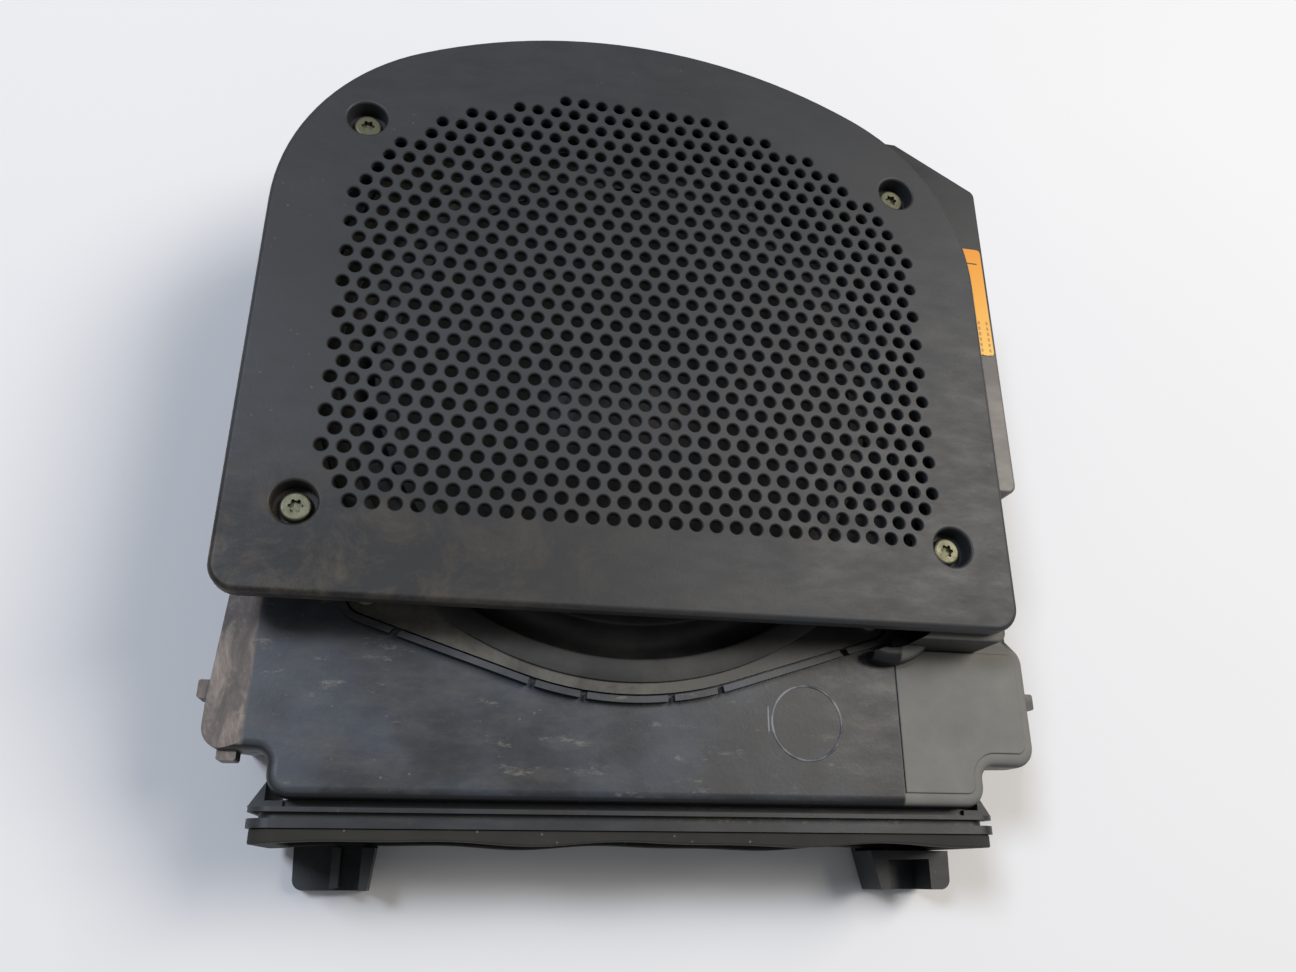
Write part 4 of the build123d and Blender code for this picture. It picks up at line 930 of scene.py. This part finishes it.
def printed_vinyl():
    """Printed vinyl: glossy amber, painted darker and more orange at its rear end as painted shade, with plain
    dark rules and dashes.
    """
    material, shader, place = new_material("printed_amber_vinyl")
    xyz = add(material, "ShaderNodeSeparateXYZ", {"Vector": place})
    x, y = xyz.outputs["X"], xyz.outputs["Y"]
    # Towards the rear end the amber is painted darker and more orange as painted shade from the cover above
    # it.
    along = add(material, "ShaderNodeMapRange", {
        "Value": y, "From Min": label_low.y, "From Max": label_high.y})
    ground = add(material, "ShaderNodeMix", {
        "Factor": along.outputs["Result"], 6: linear("#eeb01c"), 7: linear("#e8941c")}, data_type="RGBA")
    rule_y = label_high.y - 0.0065
    rule_gap = add(material, "ShaderNodeMath", {0: y, 1: rule_y, 2: 0.0003}, operation="COMPARE")
    rule_from = add(material, "ShaderNodeMath", {0: x, 1: label_low.x + 0.0015}, operation="GREATER_THAN")
    rule_to = add(material, "ShaderNodeMath", {0: x, 1: label_high.x - 0.002}, operation="LESS_THAN")
    rule_span = add(material, "ShaderNodeMath", {
        0: rule_from.outputs["Value"], 1: rule_to.outputs["Value"]}, operation="MULTIPLY")
    rule = add(material, "ShaderNodeMath", {
        0: rule_gap.outputs["Value"], 1: rule_span.outputs["Value"]}, operation="MULTIPLY")
    # Columns of short dashes stand for the printed lines.
    column_phase = add(material, "ShaderNodeMath", {0: x, 1: per_mm(3.2)}, operation="MULTIPLY")
    column_place = add(material, "ShaderNodeMath", {0: column_phase.outputs["Value"]}, operation="FRACT")
    column = add(material, "ShaderNodeMath", {
        0: column_place.outputs["Value"], 1: 0.28}, operation="LESS_THAN")
    dash_phase = add(material, "ShaderNodeMath", {0: y, 1: per_mm(2.3)}, operation="MULTIPLY")
    dash_place = add(material, "ShaderNodeMath", {0: dash_phase.outputs["Value"]}, operation="FRACT")
    dash = add(material, "ShaderNodeMath", {0: dash_place.outputs["Value"], 1: 0.62}, operation="LESS_THAN")
    dash_zone = add(material, "ShaderNodeMath", {0: y, 1: label_low.y + 0.0145}, operation="LESS_THAN")
    dash_column = add(material, "ShaderNodeMath", {
        0: column.outputs["Value"], 1: dash.outputs["Value"]}, operation="MULTIPLY")
    dashes = add(material, "ShaderNodeMath", {
        0: dash_column.outputs["Value"], 1: dash_zone.outputs["Value"]}, operation="MULTIPLY")
    faint = add(material, "ShaderNodeMath", {0: dashes.outputs["Value"], 1: 0.6}, operation="MULTIPLY")
    ink = add(material, "ShaderNodeMath", {
        0: rule.outputs["Value"], 1: faint.outputs["Value"]}, operation="MAXIMUM")
    colour = add(material, "ShaderNodeMix", {
        "Factor": ink.outputs["Value"], 6: ground.outputs[2], 7: linear("#4a3516")}, data_type="RGBA")
    fill(material, shader, {"Base Color": colour.outputs[2], "Roughness": 0.32, "IOR": 1.5})
    return material


dress(nodes["label"], printed_vinyl())


# ---- Floor, light and camera ----
# A pale matt floor, a cool window-like key light from the left and behind, a warm broad fill
# from the right and an even pale sky.

floor_size = 4.0
bpy.ops.object.select_all(action="DESELECT")
bpy.ops.mesh.primitive_plane_add(size=floor_size, location=(0, 0, -0.0002))
floor = bpy.context.object
floor.name = "floor"


def pale_paper():
    """Pale matt paper."""
    material, shader, place = new_material("pale_matt_paper")
    cloud = add(material, "ShaderNodeTexNoise", {"Vector": place, "Scale": per_mm(300), "Detail": 2})
    colour = add(material, "ShaderNodeMix", {
        "Factor": cloud.outputs["Fac"], 6: linear("#e9e9eb"), 7: linear("#efefef")}, data_type="RGBA")
    fill(material, shader, {"Base Color": colour.outputs[2], "Roughness": 0.9})
    return material


floor.data.materials.append(pale_paper())

world = bpy.data.worlds.new("pale_room")
bpy.context.scene.world = world
world.use_nodes = True
world.node_tree.nodes["Background"].inputs["Color"].default_value = linear("#eef0f4")
world.node_tree.nodes["Background"].inputs["Strength"].default_value = 0.24


def area_light(name, direction, distance, size, power, colour):
    """A square light that far from the middle of the object, aimed at it."""
    data = bpy.data.lights.new(name, "AREA")
    data.size = size
    data.energy = power
    data.color = linear(colour)[:3]
    light = bpy.data.objects.new(name, data)
    bpy.context.scene.collection.objects.link(light)
    middle = (cad_box[0] + cad_box[1]) / 2
    back = Vector(direction).normalized()
    light.location = middle + back * distance
    light.rotation_euler = back.to_track_quat("Z", "Y").to_euler()


area_light("key", (-13, 6, 24), 2.2, 0.45, 22.0, "#e4eeff")
area_light("fill", (17, 7, 24), 2.2, 1.0, 33.0, "#fff8ee")

camera_data = bpy.data.cameras.new("camera")
camera_data.lens = 27.633
camera_data.sensor_width = 36.0
camera_data.clip_start = 0.01
camera = bpy.data.objects.new("camera", camera_data)
camera.location = (-0.05949, -0.16089, 0.36809)
camera.rotation_euler = [math.radians(angle) for angle in (21.3576, -12.0877, 0.0089)]
bpy.context.scene.collection.objects.link(camera)
bpy.context.scene.camera = camera
bpy.context.scene.view_settings.view_transform = "Standard"

bpy.context.view_layer.update()
